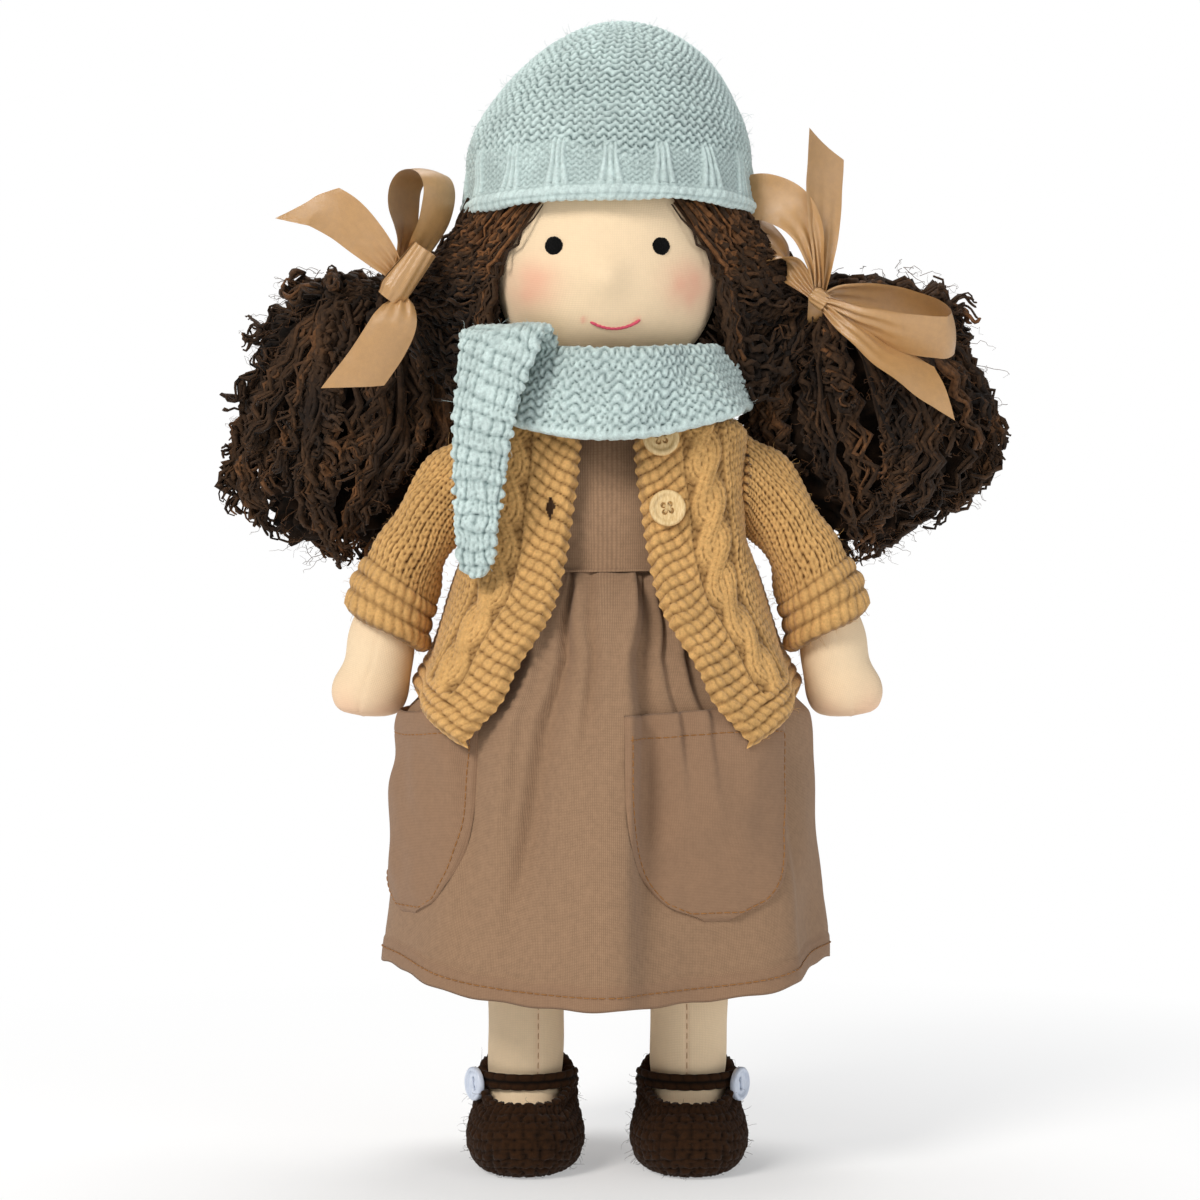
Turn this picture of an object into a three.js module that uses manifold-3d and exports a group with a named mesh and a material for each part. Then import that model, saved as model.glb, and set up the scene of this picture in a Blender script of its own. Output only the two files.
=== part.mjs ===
// A Waldorf doll in winter clothes, about 400 mm tall, standing on its soles.
// Millimetres, +Z up. The doll faces -Y and its left hand is on the +X side.
// The origin is on the floor, under the middle of the doll.
import * as THREE from "three";
import { mergeVertices } from "three/addons/utils/BufferGeometryUtils.js";
import Module from "manifold-3d";

const wasm = await Module();
wasm.setup();
const { PI, abs, asin, cos, max, min, sign, sin } = Math;

// Clearances
const gap = 0.3; // between pieces that touch
const overrun = 70; // how far a cutting tool reaches past what it cuts

// Legs and feet
const hipHeight = 156;
const legOffset = 28.5; // from the doll's middle to a leg's middle
const hipRadius = 14;
const ankleRadius = 13.2;
const ankleHeight = 40;
const footHalfWidth = 16.2;
const footHalfLength = 24.7;
const footHalfHeight = 12.1;
const footForward = 9; // the foot's middle lies this far in front of the leg's
const footTrimShare = 0.68; // of its half height, kept under the foot's middle

// Shoes
const soleThickness = 2.5;
const shoeWall = 3;
const heelWall = 3.3;
const quarterWall = 4.8; // at the sides, where the strap ends lie
const heelTop = 36;
const quarterTop = 27.5; // under the strap's ends
const quarterSlopeShare = 0.3; // how fast the side's edge falls towards the toe
const quarterBack = 2; // the strap's ends lie this far in front of the leg's middle
const openingHalfLength = 16;
const openingForward = 8;
const strapThickness = 2.4;
const strapWidth = 6;
const shoeButtonRadius = 5.9;
const shoeButtonThickness = 2.2;
const shoeButtonDrop = 2; // its middle under the strap's
const shoeButtonAngle = 1.08; // round the ankle from the front, in radians

// Torso
const hipSink = 4; // the hip joints lie this far under the torso's bottom
const shoulderSlope = 4; // the neck starts this far over the shoulders
const torsoBottom = hipHeight + hipSink;
const waistRise = 47; // over the torso's bottom
const waistHeight = torsoBottom + waistRise;
const shoulderRise = 51; // over the waist
const shoulderHeight = waistHeight + shoulderRise;
const torsoHalfWidth = 44;
const torsoHalfDepth = 27;
const neckRadius = 14;
const neckLength = 17;
const threadRadius = 0.6; // the thread that ties the neck

// Head
const headBase = shoulderHeight + neckLength;
const headHeight = 103;
const headHalfWidth = 40;
const headHalfDepth = 39.5;
const noseRise = 31; // over the head's base
const noseHeight = headBase + noseRise;
const noseDepth = 2.5;
const noseRadius = 8;
const chinShare = 0.085; // of the head's height, where the scarf rests
const eyeRise = 42;
const eyeHeight = headBase + eyeRise;
const eyeOffset = 18.2;
const eyeRadius = 2.85;
const threadDepth = 0.7; // how far the embroidery stands out of the face
const mouthLevel = 14.8;
const mouthHeight = headBase + mouthLevel;
const mouthHalfWidth = 8.8;
const mouthOffset = 1;
const mouthRise = 1.7; // the corners over the middle
const mouthBand = 1.5;

// Arms
const armDrop = 18; // of the arms' axis under the shoulders
const shoulderJoint = shoulderHeight - armDrop;
const armRadius = 10.5;
const jointFlat = 35.5; // the torso's flat seats for the arms
const jointFlatHalfHeight = 15;
const armholePlane = 48.5; // half width of the cardigan at the armholes
const sleeveReach = 28.7; // from the armhole out to the cuff's middle
const sleeveDrop = 51.5;
const handReach = 8; // from the cuff's middle out to the fingertips
const handDrop = 32.3;
const handRadius = 13.2;

// Cardigan
const knitThickness = 3;
const sleeveThickness = 2.6;
const sleeveRadius = 17; // outside, at the armhole
const armholeRadius = 15;
const cardiganDrop = 59; // of its points under the waist
const cardiganBottom = waistHeight - cardiganDrop;
const collarRise = 5; // over the shoulders
const cardiganTop = shoulderHeight + collarRise;
const cardiganFlare = 20; // how far the sides stand out at the hem
const cardiganHalfDepth = 31;
const cardiganDepthFlare = 25;
const hemSideRise = 18;
const hemBackRise = 20;
const woodButtonRadius = 6.3;
const woodButtonThickness = 2.2;
const lowerButtonRise = 21; // over the waist
const lowerButtonHeight = waistHeight + lowerButtonRise;
const lowerButtonOffset = 20.2;
const buttonSpacing = 23.8;
const upperButtonHeight = lowerButtonHeight + buttonSpacing;
const upperButtonOffset = 18.1;
const buttonholeHalfWidth = 2.5;
const buttonholeHalfHeight = 4.2;

// Dress
const clothThickness = 1.2;
const bodiceThickness = 1;
const bodiceArmholeRadius = 13;
const skirtLength = 145;
const hemHalfWidth = 78;
const hemHalfDepth = 65;
const skirtSideRise = 10; // the hem is higher at the sides
const foldDepth = 3.5;
const pocketDrop = 47; // from the waist to the pocket's top edge
const pocketDepth = 70;
const pocketGap = 0.8;

// Scarf
const scarfThickness = 4.2;
const scarfTopHalfWidth = 39;
const scarfTopHalfDepth = 36;
const scarfBottomHalfWidth = 50;
const scarfBottomHalfDepth = 41.5;
const scarfForward = 3.5;
const scarfRise = 4.5; // of its top edge over the head's base
const scarfTopHeight = headBase + scarfRise;
const scarfHeight = 25;
const scarfBottomHeight = scarfTopHeight - scarfHeight;
const scarfSideRise = 11.5;
const scarfTailHalfWidth = 13.5;

// Hair
const hairRise = 12; // of its lower edge over the head's base
const hairBottom = headBase + hairRise;
const hairSide = 9.5; // thickness over the ears
const hairDepth = 4.7; // mean thickness in front and behind
const hairTop = 6;
const hairBack = 2; // the hair's middle lies behind the head's
const tieOffset = 73; // from the doll's middle to the middle of a hair band
const tieRise = 29; // of the hair bands over the head's base
const tieHeight = headBase + tieRise;
const tieBack = 8;
const tieRadius = 6.8;
const bandThickness = 2;
const bandWidth = 5;
const rootHalfDepth = 24; // of the gathered hair at the head
const rootHalfHeight = 20;
const pigtailReach = 140;
const pigtailRise = 14; // of the loose hair over its band
const pigtailTop = tieHeight + pigtailRise;
const pigtailLength = 107;
const pigtailBottom = pigtailTop - pigtailLength;
const pigtailBack = 50;
const pigtailClearance = 5; // to the sleeves
const pigtailArmDepth = 38; // the hair lies behind the arms only past this depth
const collarClearance = 54; // distance of the loose hair from the doll's axis

// Hat
const rimRise = 58; // of the hat's rim over the head's base
const hatRim = headBase + rimRise;
const hatHeight = 67;
const hatTop = hatRim + hatHeight;
const hatThickness = 3.5;

// Hair ribbons
const ribbonWidth = 20;
const ribbonThickness = 0.8;
const knotHalfWidth = 5.2;
const knotHalfDepth = 3.6;
const wrapWidth = 5; // of the ribbon round a hair band

// Outlines, as shares of the sizes above
const torsoWidthShares = [
  [0, 0.86], [0.05, 0.97], [0.12, 1], [0.3, 0.93], [0.48, 0.8], [0.68, 0.83], [0.93, 0.84],
  [0.97, 0.66], [1, 0.36],
];
const torsoDepthShares = [
  [0, 0.7], [0.05, 0.9], [0.12, 1], [0.3, 0.95], [0.48, 0.84], [0.7, 0.82], [0.85, 0.75], [0.93, 0.62],
  [1, 0.5],
];
const headShares = [
  [0, 0.36], [0.04, 0.54], [0.09, 0.705], [0.15, 0.83], [0.22, 0.92], [0.3, 0.98], [0.38, 1],
  [0.5, 0.985], [0.62, 0.93], [0.73, 0.84], [0.82, 0.72], [0.9, 0.56], [0.96, 0.36], [1, 0],
];
const bodiceLevelShares = [0.14, 0.3, 0.48, 0.66, 0.82, 0.92]; // from the waist to the shoulders
const chinLevelShares = [0, 0.04, chinShare];
const skullLevelShares = [0.07, 0.17, 0.3, 0.44, 0.59, 0.73, 0.85, 0.945]; // from the hair's lower edge up
const sleeveTurnShares = [[0, 1], [0.25, 0.733], [0.5, 0.556], [0.75, 0.422], [1, 0.329]];
const sleeveRadiusShares = [[0, 1], [0.25, 0.853], [0.5, 0.753], [0.75, 0.841], [1, 0.941]];
const armRadiusShares = [[0, 1], [0.25, 0.99], [0.5, 0.914], [0.75, 0.97], [1, 1.095]];
const sleeveBendShares = [0.49, 0.18];
const handShares = [
  [0.35, 0.46, 0.95, 0.8, 0.22], [0.68, 0.7, 1, 0.83, 0.15], [0.88, 0.88, 0.87, 0.74, 0.1],
  [0.97, 0.97, 0.57, 0.5, 0.05],
];
const cardiganWidthShares = [
  [0, 1.3], [0.087, 1.17], [0.17, 0.95], [0.2, 0.88], [0.27, 0.68], [0.365, 0.5], [0.435, 0.39],
  [0.51, 0.26], [0.57, 0.12], [0.6, 0.04], [0.63, 0], [0.93, 0], [0.97, -0.28], [1, -0.9],
];
const cardiganDepthShares = [
  [0, 1.28], [0.22, 1], [0.365, 0.66], [0.51, 0.28], [0.63, 0.1], [0.71, 0.03], [0.93, -0.04],
  [0.97, -0.16], [1, -0.36],
];
const cardiganOpeningShares = [
  [0, 1], [0.02, 1], [0.13, 0.76], [0.235, 0.64], [0.426, 0.37], [0.748, 0.223], [0.904, 0.186],
  [1, 0.17],
];
const skirtWidthShares = [
  [0, 0], [0.05, 0.12], [0.12, 0.36], [0.19, 0.5], [0.25, 0.6], [0.272, 0.64], [0.303, 0.72],
  [0.34, 0.83], [0.46, 0.87], [0.74, 0.945], [1, 1],
];
const skirtDepthShares = [
  [0, 0], [0.117, 0.34], [0.255, 0.58], [0.324, 0.68], [0.462, 0.78], [0.738, 0.9], [1, 1],
];
const skirtRowShares = [0, 0.05, 0.12, 0.2, 0.28, 0.34, 0.44, 0.6, 0.8, 1];
const pocketShares = [[0, 1], [0.5, 0.98], [0.75, 0.85], [0.9, 0.6], [1, 0.25]];
const hatShares = [[0, 1], [0.18, 0.985], [0.373, 0.945], [0.582, 0.845], [0.8, 0.62], [0.925, 0.37]];
const hairOpeningShares = [[0, 1.02], [0.4, 1], [0.72, 0.875], [1, 0.6], [1.35, 0.15]];
const pigtailOuterShares = [
  [0, 0.66], [0.065, 0.75], [0.178, 0.84], [0.3, 0.957], [0.43, 1], [0.52, 0.986], [0.72, 0.95],
  [0.85, 0.907], [0.94, 0.85], [1, 0.74],
];
const pigtailInnerShares = [
  [0, 0.63], [0.065, 0.57], [0.178, 0.47], [0.3, 0.386], [0.43, 0.357], [0.55, 0.38], [0.64, 0.43],
  [0.7, 0.49], [0.785, 0.53], [0.94, 0.57], [1, 0.66],
];
const pigtailFrontShares = [
  [0, 0.32], [0.13, 0.12], [0.27, 0], [0.55, -0.04], [0.75, -0.02], [0.83, 0.02], [0.89, 0.04],
  [0.945, 0.12], [1, 0.28],
];
const pigtailBackShares = [
  [0, 0.6], [0.13, 0.84], [0.32, 1], [0.55, 1], [0.74, 0.88], [0.88, 0.72], [1, 0.48],
];
const pigtailRowShares = [0, 0.06, 0.15, 0.26, 0.38, 0.5, 0.62, 0.74, 0.85, 0.94, 1];

// Points and tables

const point = (x, y, z) => new THREE.Vector3(x, y, z);
const mix = (a, b, share) => a + (b - a) * share;

// The value of a table of [place, value] pairs at any place, on a smooth curve through the pairs.
function along(table, place) {
  const last = table.length - 1;
  if (place <= table[0][0]) return table[0][1];
  if (place >= table[last][0]) return table[last][1];
  const i = table.findIndex(([at]) => at > place) - 1;
  const slope = (k) => {
    const before = table[max(k - 1, 0)];
    const after = table[min(k + 1, last)];
    return (after[1] - before[1]) / (after[0] - before[0]);
  };
  const width = table[i + 1][0] - table[i][0];
  const t = (place - table[i][0]) / width;
  const ends = table[i][1] * (1 + 2 * t) * (1 - t) ** 2 + table[i + 1][1] * t * t * (3 - 2 * t);
  return ends + width * (slope(i) * t * (1 - t) ** 2 + slope(i + 1) * t * t * (t - 1));
}

// A point of a squared oval. Angle 0 is its front, on -Y, and grows towards +X.
function onOval(angle, halfWidth, halfDepth, squareness = 2) {
  const power = 2 / squareness;
  const x = halfWidth * sign(sin(angle)) * abs(sin(angle)) ** power;
  const y = -halfDepth * sign(cos(angle)) * abs(cos(angle)) ** power;
  return [x, y];
}

// The direction that faces out of a squared oval at one of its points.
function outOfOval(x, y, halfWidth, halfDepth, squareness = 2) {
  const outX = (sign(x) * (abs(x) / halfWidth) ** (squareness - 1)) / halfWidth;
  const outY = (sign(y) * (abs(y) / halfDepth) ** (squareness - 1)) / halfDepth;
  return point(outX, outY, 0).normalize();
}

// A level ring of a squared oval, with its middle at middleX and middleY.
function levelRing(sides, z, halfWidth, halfDepth, { squareness = 2, middleX = 0, middleY = 0 } = {}) {
  return Array.from({ length: sides }, (_, side) => {
    const [x, y] = onOval((side / sides) * 2 * PI, halfWidth, halfDepth, squareness);
    return point(middleX + x, middleY + y, z);
  });
}

// Meshes

// A closed mesh of points and triangles, turned so that its faces point out.
function meshOf(points, triangles) {
  let volume = 0;
  for (const [a, b, c] of triangles) {
    volume += points[a].dot(points[b].clone().cross(points[c]));
  }
  const faces = volume < 0 ? triangles.map(([a, b, c]) => [a, c, b]) : triangles;
  const geometry = new THREE.BufferGeometry().setFromPoints(points);
  geometry.setIndex(faces.flat());
  return geometry;
}

// The middle of a ring of points.
function middleOf(ring) {
  const sum = ring.reduce((total, next) => total.add(next), point(0, 0, 0));
  return sum.divideScalar(ring.length);
}

// A skin over rings of equally many points. Fans close its ends, or, when it is endless, its last ring
// meets its first. The fans' middles may be given as tips.
function loft(rings, { endless = false, tips = [] } = {}) {
  const sides = rings[0].length;
  const points = rings.flat();
  const triangles = [];
  const bands = endless ? rings.length : rings.length - 1;
  for (let row = 0; row < bands; row++) {
    const near = row * sides;
    const far = ((row + 1) % rings.length) * sides;
    for (let side = 0; side < sides; side++) {
      const next = (side + 1) % sides;
      triangles.push([near + side, near + next, far + next], [near + side, far + next, far + side]);
    }
  }
  if (endless) return meshOf(points, triangles);
  const last = (rings.length - 1) * sides;
  points.push(tips[0] ?? middleOf(rings[0]), tips[1] ?? middleOf(rings[rings.length - 1]));
  for (let side = 0; side < sides; side++) {
    const next = (side + 1) % sides;
    triangles.push([points.length - 2, next, side], [points.length - 1, last + side, last + next]);
  }
  return meshOf(points, triangles);
}

// A thick open sheet between two equal grids of points.
function sheetOf(outer, inner) {
  const rows = outer.length;
  const columns = outer[0].length;
  const points = [...outer.flat(), ...inner.flat()];
  const triangles = [];
  const at = (row, column, skin) => (skin * rows + row) * columns + column;
  const quad = (a, b, c, d) => triangles.push([a, b, c], [a, c, d]);
  for (let row = 0; row < rows - 1; row++) {
    for (let column = 0; column < columns - 1; column++) {
      quad(at(row, column, 0), at(row, column + 1, 0), at(row + 1, column + 1, 0), at(row + 1, column, 0));
      quad(at(row, column, 1), at(row + 1, column, 1), at(row + 1, column + 1, 1), at(row, column + 1, 1));
    }
    quad(at(row, 0, 0), at(row + 1, 0, 0), at(row + 1, 0, 1), at(row, 0, 1));
    const end = columns - 1;
    quad(at(row + 1, end, 0), at(row, end, 0), at(row, end, 1), at(row + 1, end, 1));
  }
  for (let column = 0; column < columns - 1; column++) {
    const end = rows - 1;
    quad(at(0, column + 1, 0), at(0, column, 0), at(0, column, 1), at(0, column + 1, 1));
    quad(at(end, column, 0), at(end, column + 1, 0), at(end, column + 1, 1), at(end, column, 1));
  }
  return meshOf(points, triangles);
}

// Cuts and joins

function solidOf(geometry) {
  const bare = geometry.clone();
  bare.deleteAttribute("normal");
  bare.deleteAttribute("uv");
  const merged = mergeVertices(bare);
  return new wasm.Manifold(
    new wasm.Mesh({
      numProp: 3,
      vertProperties: merged.attributes.position.array,
      triVerts: new Uint32Array(merged.index.array),
    }),
  );
}

function geometryOf(solid) {
  const { vertProperties, triVerts } = solid.getMesh();
  return new THREE.BufferGeometry()
    .setAttribute("position", new THREE.BufferAttribute(vertProperties, 3))
    .setIndex(new THREE.BufferAttribute(triVerts, 1));
}

const cut = (geometry, ...tools) =>
  geometryOf(tools.reduce((solid, tool) => solid.subtract(solidOf(tool)), solidOf(geometry)));

const join = (...pieces) => geometryOf(pieces.map(solidOf).reduce((solid, piece) => solid.add(piece)));

// A block between two opposite corners.
function blockOf(low, high) {
  const size = high.clone().sub(low);
  const middle = high.clone().add(low).divideScalar(2);
  return new THREE.BoxGeometry(size.x, size.y, size.z).translate(middle.x, middle.y, middle.z);
}

// An upright oval post from one height to another.
function postOf(halfWidth, halfDepth, low, high, middleY = 0, sides = 20) {
  const post = new THREE.CylinderGeometry(1, 1, high - low, sides);
  return post.rotateX(PI / 2).scale(halfWidth, halfDepth, 1).translate(0, middleY, (high + low) / 2);
}

// A ball stretched to three half sizes.
function ballOf(halfWidth, halfDepth, halfHeight, middle, columns = 18, rows = 10) {
  const ball = new THREE.SphereGeometry(1, columns, rows);
  return ball.rotateX(PI / 2).scale(halfWidth, halfDepth, halfHeight).translate(middle.x, middle.y, middle.z);
}

// A rod along X, through the height z and the depth y, between two places.
function rodOf(radius, y, z, start, end) {
  const rod = new THREE.CylinderGeometry(radius, radius, abs(end - start), 18);
  return rod.rotateZ(PI / 2).translate((start + end) / 2, y, z);
}

// An outline of [x, z] points, extruded along Y.
function platesFrom(outline, front, back) {
  const shape = new THREE.Shape(outline.map(([x, z]) => new THREE.Vector2(x, z)));
  const plate = new THREE.ExtrudeGeometry(shape, { depth: back - front, bevelEnabled: false });
  return plate.rotateX(PI / 2).translate(0, back, 0);
}

// The doll's sections

// The torso's half width, half depth and squareness at a height.
function torsoSection(z) {
  const level = (z - torsoBottom) / (shoulderHeight - torsoBottom);
  const halfWidth = torsoHalfWidth * along(torsoWidthShares, level);
  const halfDepth = torsoHalfDepth * along(torsoDepthShares, level);
  return [halfWidth, halfDepth, 3];
}

const torsoRing = (z, offset) => {
  const [halfWidth, halfDepth, squareness] = torsoSection(z);
  return levelRing(24, z, halfWidth + offset, halfDepth + offset, { squareness });
};

// The heights that the torso and the bodice over it share.
const bodiceHeights = bodiceLevelShares.map((share) => mix(waistHeight, shoulderHeight, share));

// The head's half width and half depth at a height.
function headSection(z) {
  const share = along(headShares, (z - headBase) / headHeight);
  return [headHalfWidth * share, headHalfDepth * share];
}

// The heights that the head and the hair over it share.
const headTop = headBase + headHeight;
const skullHeights = [hairBottom, ...skullLevelShares.map((share) => mix(hairBottom, headTop, share))];

// A point on the face, with the direction that faces out of it.
function onFace(x, z) {
  const [halfWidth, halfDepth] = headSection(z);
  const y = -halfDepth * (1 - (x / halfWidth) ** 2) ** 0.5;
  const above = headSection(z + eyeRadius)[1];
  const below = headSection(z - eyeRadius)[1];
  const out = outOfOval(x, y, halfWidth, halfDepth);
  out.z = (below - above) / (2 * eyeRadius);
  return { at: point(x, y, z), out: out.normalize() };
}

// The arm's route

const sleeveRoot = armholePlane + gap;
const cuffMiddle = [sleeveRoot + sleeveReach, shoulderJoint - sleeveDrop];
const [bendOut, bendDown] = sleeveBendShares;
const sleeveBend = [sleeveRoot + sleeveReach * bendOut, shoulderJoint - sleeveDrop * bendDown];
const sleeveRoute = new THREE.QuadraticBezierCurve(
  new THREE.Vector2(sleeveRoot, shoulderJoint),
  new THREE.Vector2(...sleeveBend),
  new THREE.Vector2(...cuffMiddle),
);

// A ring square to the arm, which is turned out of the vertical by a share of a right angle.
function armRing(side, [x, z], turn, radius, halfDepth = radius) {
  const angle = (turn * PI) / 2;
  return Array.from({ length: 16 }, (_, corner) => {
    const round = (corner / 16) * 2 * PI;
    const across = radius * sin(round);
    return point(side * (x + across * cos(angle)), -halfDepth * cos(round), z + across * sin(angle));
  });
}

function sleeveRing(side, place, radius) {
  const at = sleeveRoute.getPoint(place);
  return armRing(side, [at.x, at.y], along(sleeveTurnShares, place), radius);
}

const sleeveOuter = (place) => sleeveRadius * along(sleeveRadiusShares, place);

// The skirt's surface

const waistHalfWidth = torsoSection(waistHeight)[0] + gap + clothThickness;
const waistHalfDepth = torsoSection(waistHeight)[1] + gap + clothThickness;
const mainFolds = (angle) => 0.6 * cos(8 * angle - 0.5) + 0.4 * cos(6 * angle + 0.4);

function onSkirt(angle, z, offset) {
  const fall = (waistHeight - z) / skirtLength;
  const fold = offset + foldDepth * fall ** 2 * mainFolds(angle);
  const halfWidth = mix(waistHalfWidth, hemHalfWidth, along(skirtWidthShares, fall)) + fold;
  const halfDepth = mix(waistHalfDepth, hemHalfDepth, along(skirtDepthShares, fall)) + fold;
  const [x, y] = onOval(angle, halfWidth, halfDepth, mix(3, 2, min(1, fall / 0.2)));
  return point(x, y, z);
}

// The cardigan's surface

function cardiganSection(z) {
  const level = (z - cardiganBottom) / (cardiganTop - cardiganBottom);
  const halfWidth = armholePlane + cardiganFlare * along(cardiganWidthShares, level);
  const halfDepth = cardiganHalfDepth + cardiganDepthFlare * along(cardiganDepthShares, level);
  const opening = armholePlane * along(cardiganOpeningShares, level);
  return { halfWidth, halfDepth, opening, squareness: mix(2.2, 3.2, max(0, min(1, level))) };
}

// A point of the cardigan: round runs from its right front edge, by the back, to its left front edge.
function onCardigan(round, rise, inward) {
  const side = min(round, 1 - round) * 4;
  const hemRise = side < 1 ? hemSideRise * sin((side * PI) / 2) : mix(hemSideRise, hemBackRise, side - 1);
  const z = mix(cardiganBottom + hemRise, cardiganTop, rise);
  const { halfWidth, halfDepth, opening, squareness } = cardiganSection(z);
  const edge = asin((opening / halfWidth) ** (squareness / 2));
  const angle = mix(-edge, edge - 2 * PI, round);
  const [x, y] = onOval(angle, halfWidth - inward, halfDepth - inward, squareness);
  return point(x, y, z);
}

// A place on the cardigan's front, with the direction that faces out of it.
function onCardiganFront(x, z) {
  const { halfWidth, halfDepth, squareness } = cardiganSection(z);
  const y = -halfDepth * (1 - (abs(x) / halfWidth) ** squareness) ** (1 / squareness);
  const out = outOfOval(x, y, halfWidth, halfDepth, squareness);
  const above = cardiganSection(z + woodButtonRadius).halfDepth;
  const below = cardiganSection(z - woodButtonRadius).halfDepth;
  out.z = (below - above) / (2 * woodButtonRadius);
  return { at: point(x, y, z), out: out.normalize() };
}

// Pieces of the stuffed body

function makeTorso() {
  const hips = [0, 0.12, 0.3, 0.6].map((share) => mix(torsoBottom, waistHeight, share));
  const heights = [...hips, waistHeight, ...bodiceHeights, shoulderHeight];
  const rings = heights.map((z) => torsoRing(z, 0));
  const neckStart = shoulderHeight + shoulderSlope;
  rings.push(levelRing(24, neckStart, neckRadius, neckRadius));
  rings.push(levelRing(24, headBase - gap, neckRadius, neckRadius));
  const socket = hipRadius + 2 * gap;
  const tools = [];
  for (const side of [-1, 1]) {
    tools.push(ballOf(socket, socket, socket, point(side * legOffset, 0, hipHeight), 16, 8));
    const flatMiddle = side * (jointFlat + overrun / 2);
    const low = point(flatMiddle - overrun / 2, -overrun, shoulderJoint - jointFlatHalfHeight);
    const high = point(flatMiddle + overrun / 2, overrun, shoulderJoint + jointFlatHalfHeight);
    tools.push(blockOf(low, high));
  }
  return cut(loft(rings), ...tools);
}

// The thread that draws the neck in, under the head.
function makeNeckTie() {
  const section = new THREE.Path().absarc(neckRadius + gap + threadRadius, 0, threadRadius, 0, 2 * PI);
  const height = mix(shoulderHeight, headBase, 0.5);
  return new THREE.LatheGeometry(section.getPoints(2), 20).rotateX(PI / 2).translate(0, 0, height);
}

function makeHead() {
  const chinHeights = chinLevelShares.map((share) => headBase + headHeight * share);
  const rings = [...chinHeights, ...skullHeights].map((z) => {
    const ring = levelRing(28, z, ...headSection(z));
    for (const corner of ring) {
      const off = (corner.x ** 2 + (z - noseHeight) ** 2) / noseRadius ** 2;
      if (corner.y < 0) corner.y -= noseDepth * Math.exp(-off);
    }
    return ring;
  });
  return loft(rings, { tips: [point(0, 0, headBase), point(0, 0, headTop)] });
}

// An embroidered eye: a low dome of thread on the face, made flat and turned by its mesh.
function makeEye() {
  const outline = [
    new THREE.Vector2(0, 0), new THREE.Vector2(eyeRadius, 0), new THREE.Vector2(eyeRadius, threadDepth / 2),
    new THREE.Vector2(eyeRadius * 0.7, threadDepth), new THREE.Vector2(0, threadDepth),
  ];
  return new THREE.LatheGeometry(outline, 16).rotateX(PI / 2);
}

// The mouth: one band of stitches, its corners raised.
function makeMouth() {
  const skin = (lift) => [-0.5, 0.5].map((band) =>
    Array.from({ length: 13 }, (_, column) => {
      const place = column / 6 - 1;
      const x = mouthOffset + mouthHalfWidth * place;
      const full = 1 - 0.75 * place ** 2;
      const { at, out } = onFace(x, mouthHeight + mouthRise * place ** 2 + mouthBand * band * full);
      return at.addScaledVector(out, lift);
    }));
  return sheetOf(skin(2 * gap + threadDepth), skin(2 * gap));
}

function makeArm(side) {
  const places = [0, 0.15, 0.32, 0.5, 0.68, 0.85, 1];
  const rings = [armRing(side, [jointFlat + gap, shoulderJoint], 1, armRadius)];
  rings.push(...places.map((place) => sleeveRing(side, place, armRadius * along(armRadiusShares, place))));
  for (const [out, down, radius, depth, turn] of handShares) {
    const place = [cuffMiddle[0] + handReach * out, cuffMiddle[1] - handDrop * down];
    rings.push(armRing(side, place, turn, handRadius * radius, handRadius * depth));
  }
  const tip = point(side * (cuffMiddle[0] + handReach), 0, cuffMiddle[1] - handDrop);
  return loft(rings, { tips: [undefined, tip] });
}

// A leg in its own frame: the floor at zero and the leg's middle on the axis.
const footMiddle = soleThickness + gap + footHalfHeight * footTrimShare;
const footAt = point(0, -footForward, footMiddle);

function makeLeg() {
  const outline = [new THREE.Vector2(0, footMiddle), new THREE.Vector2(ankleRadius, footMiddle)];
  for (const share of [1, 0.75, 0.5, 0.25]) {
    const z = mix(hipHeight, ankleHeight, share);
    outline.push(new THREE.Vector2(mix(hipRadius, ankleRadius, share), z));
  }
  for (const turn of [0, 0.25, 0.5, 0.75]) {
    const angle = (turn * PI) / 2;
    outline.push(new THREE.Vector2(hipRadius * cos(angle), hipHeight + hipRadius * sin(angle)));
  }
  outline.push(new THREE.Vector2(0, hipHeight + hipRadius));
  const column = new THREE.LatheGeometry(outline, 20).rotateX(PI / 2);
  const foot = ballOf(footHalfWidth, footHalfLength, footHalfHeight, footAt);
  const floor = soleThickness + gap;
  const below = blockOf(point(-overrun, -overrun, floor - overrun), point(overrun, overrun, floor));
  return cut(join(column, foot), below);
}

// Shoes

const cupHalfWidth = ankleRadius + gap + quarterWall;
const cupHalfDepth = ankleRadius + gap + heelWall;
const strapBottom = quarterTop + gap;

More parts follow.
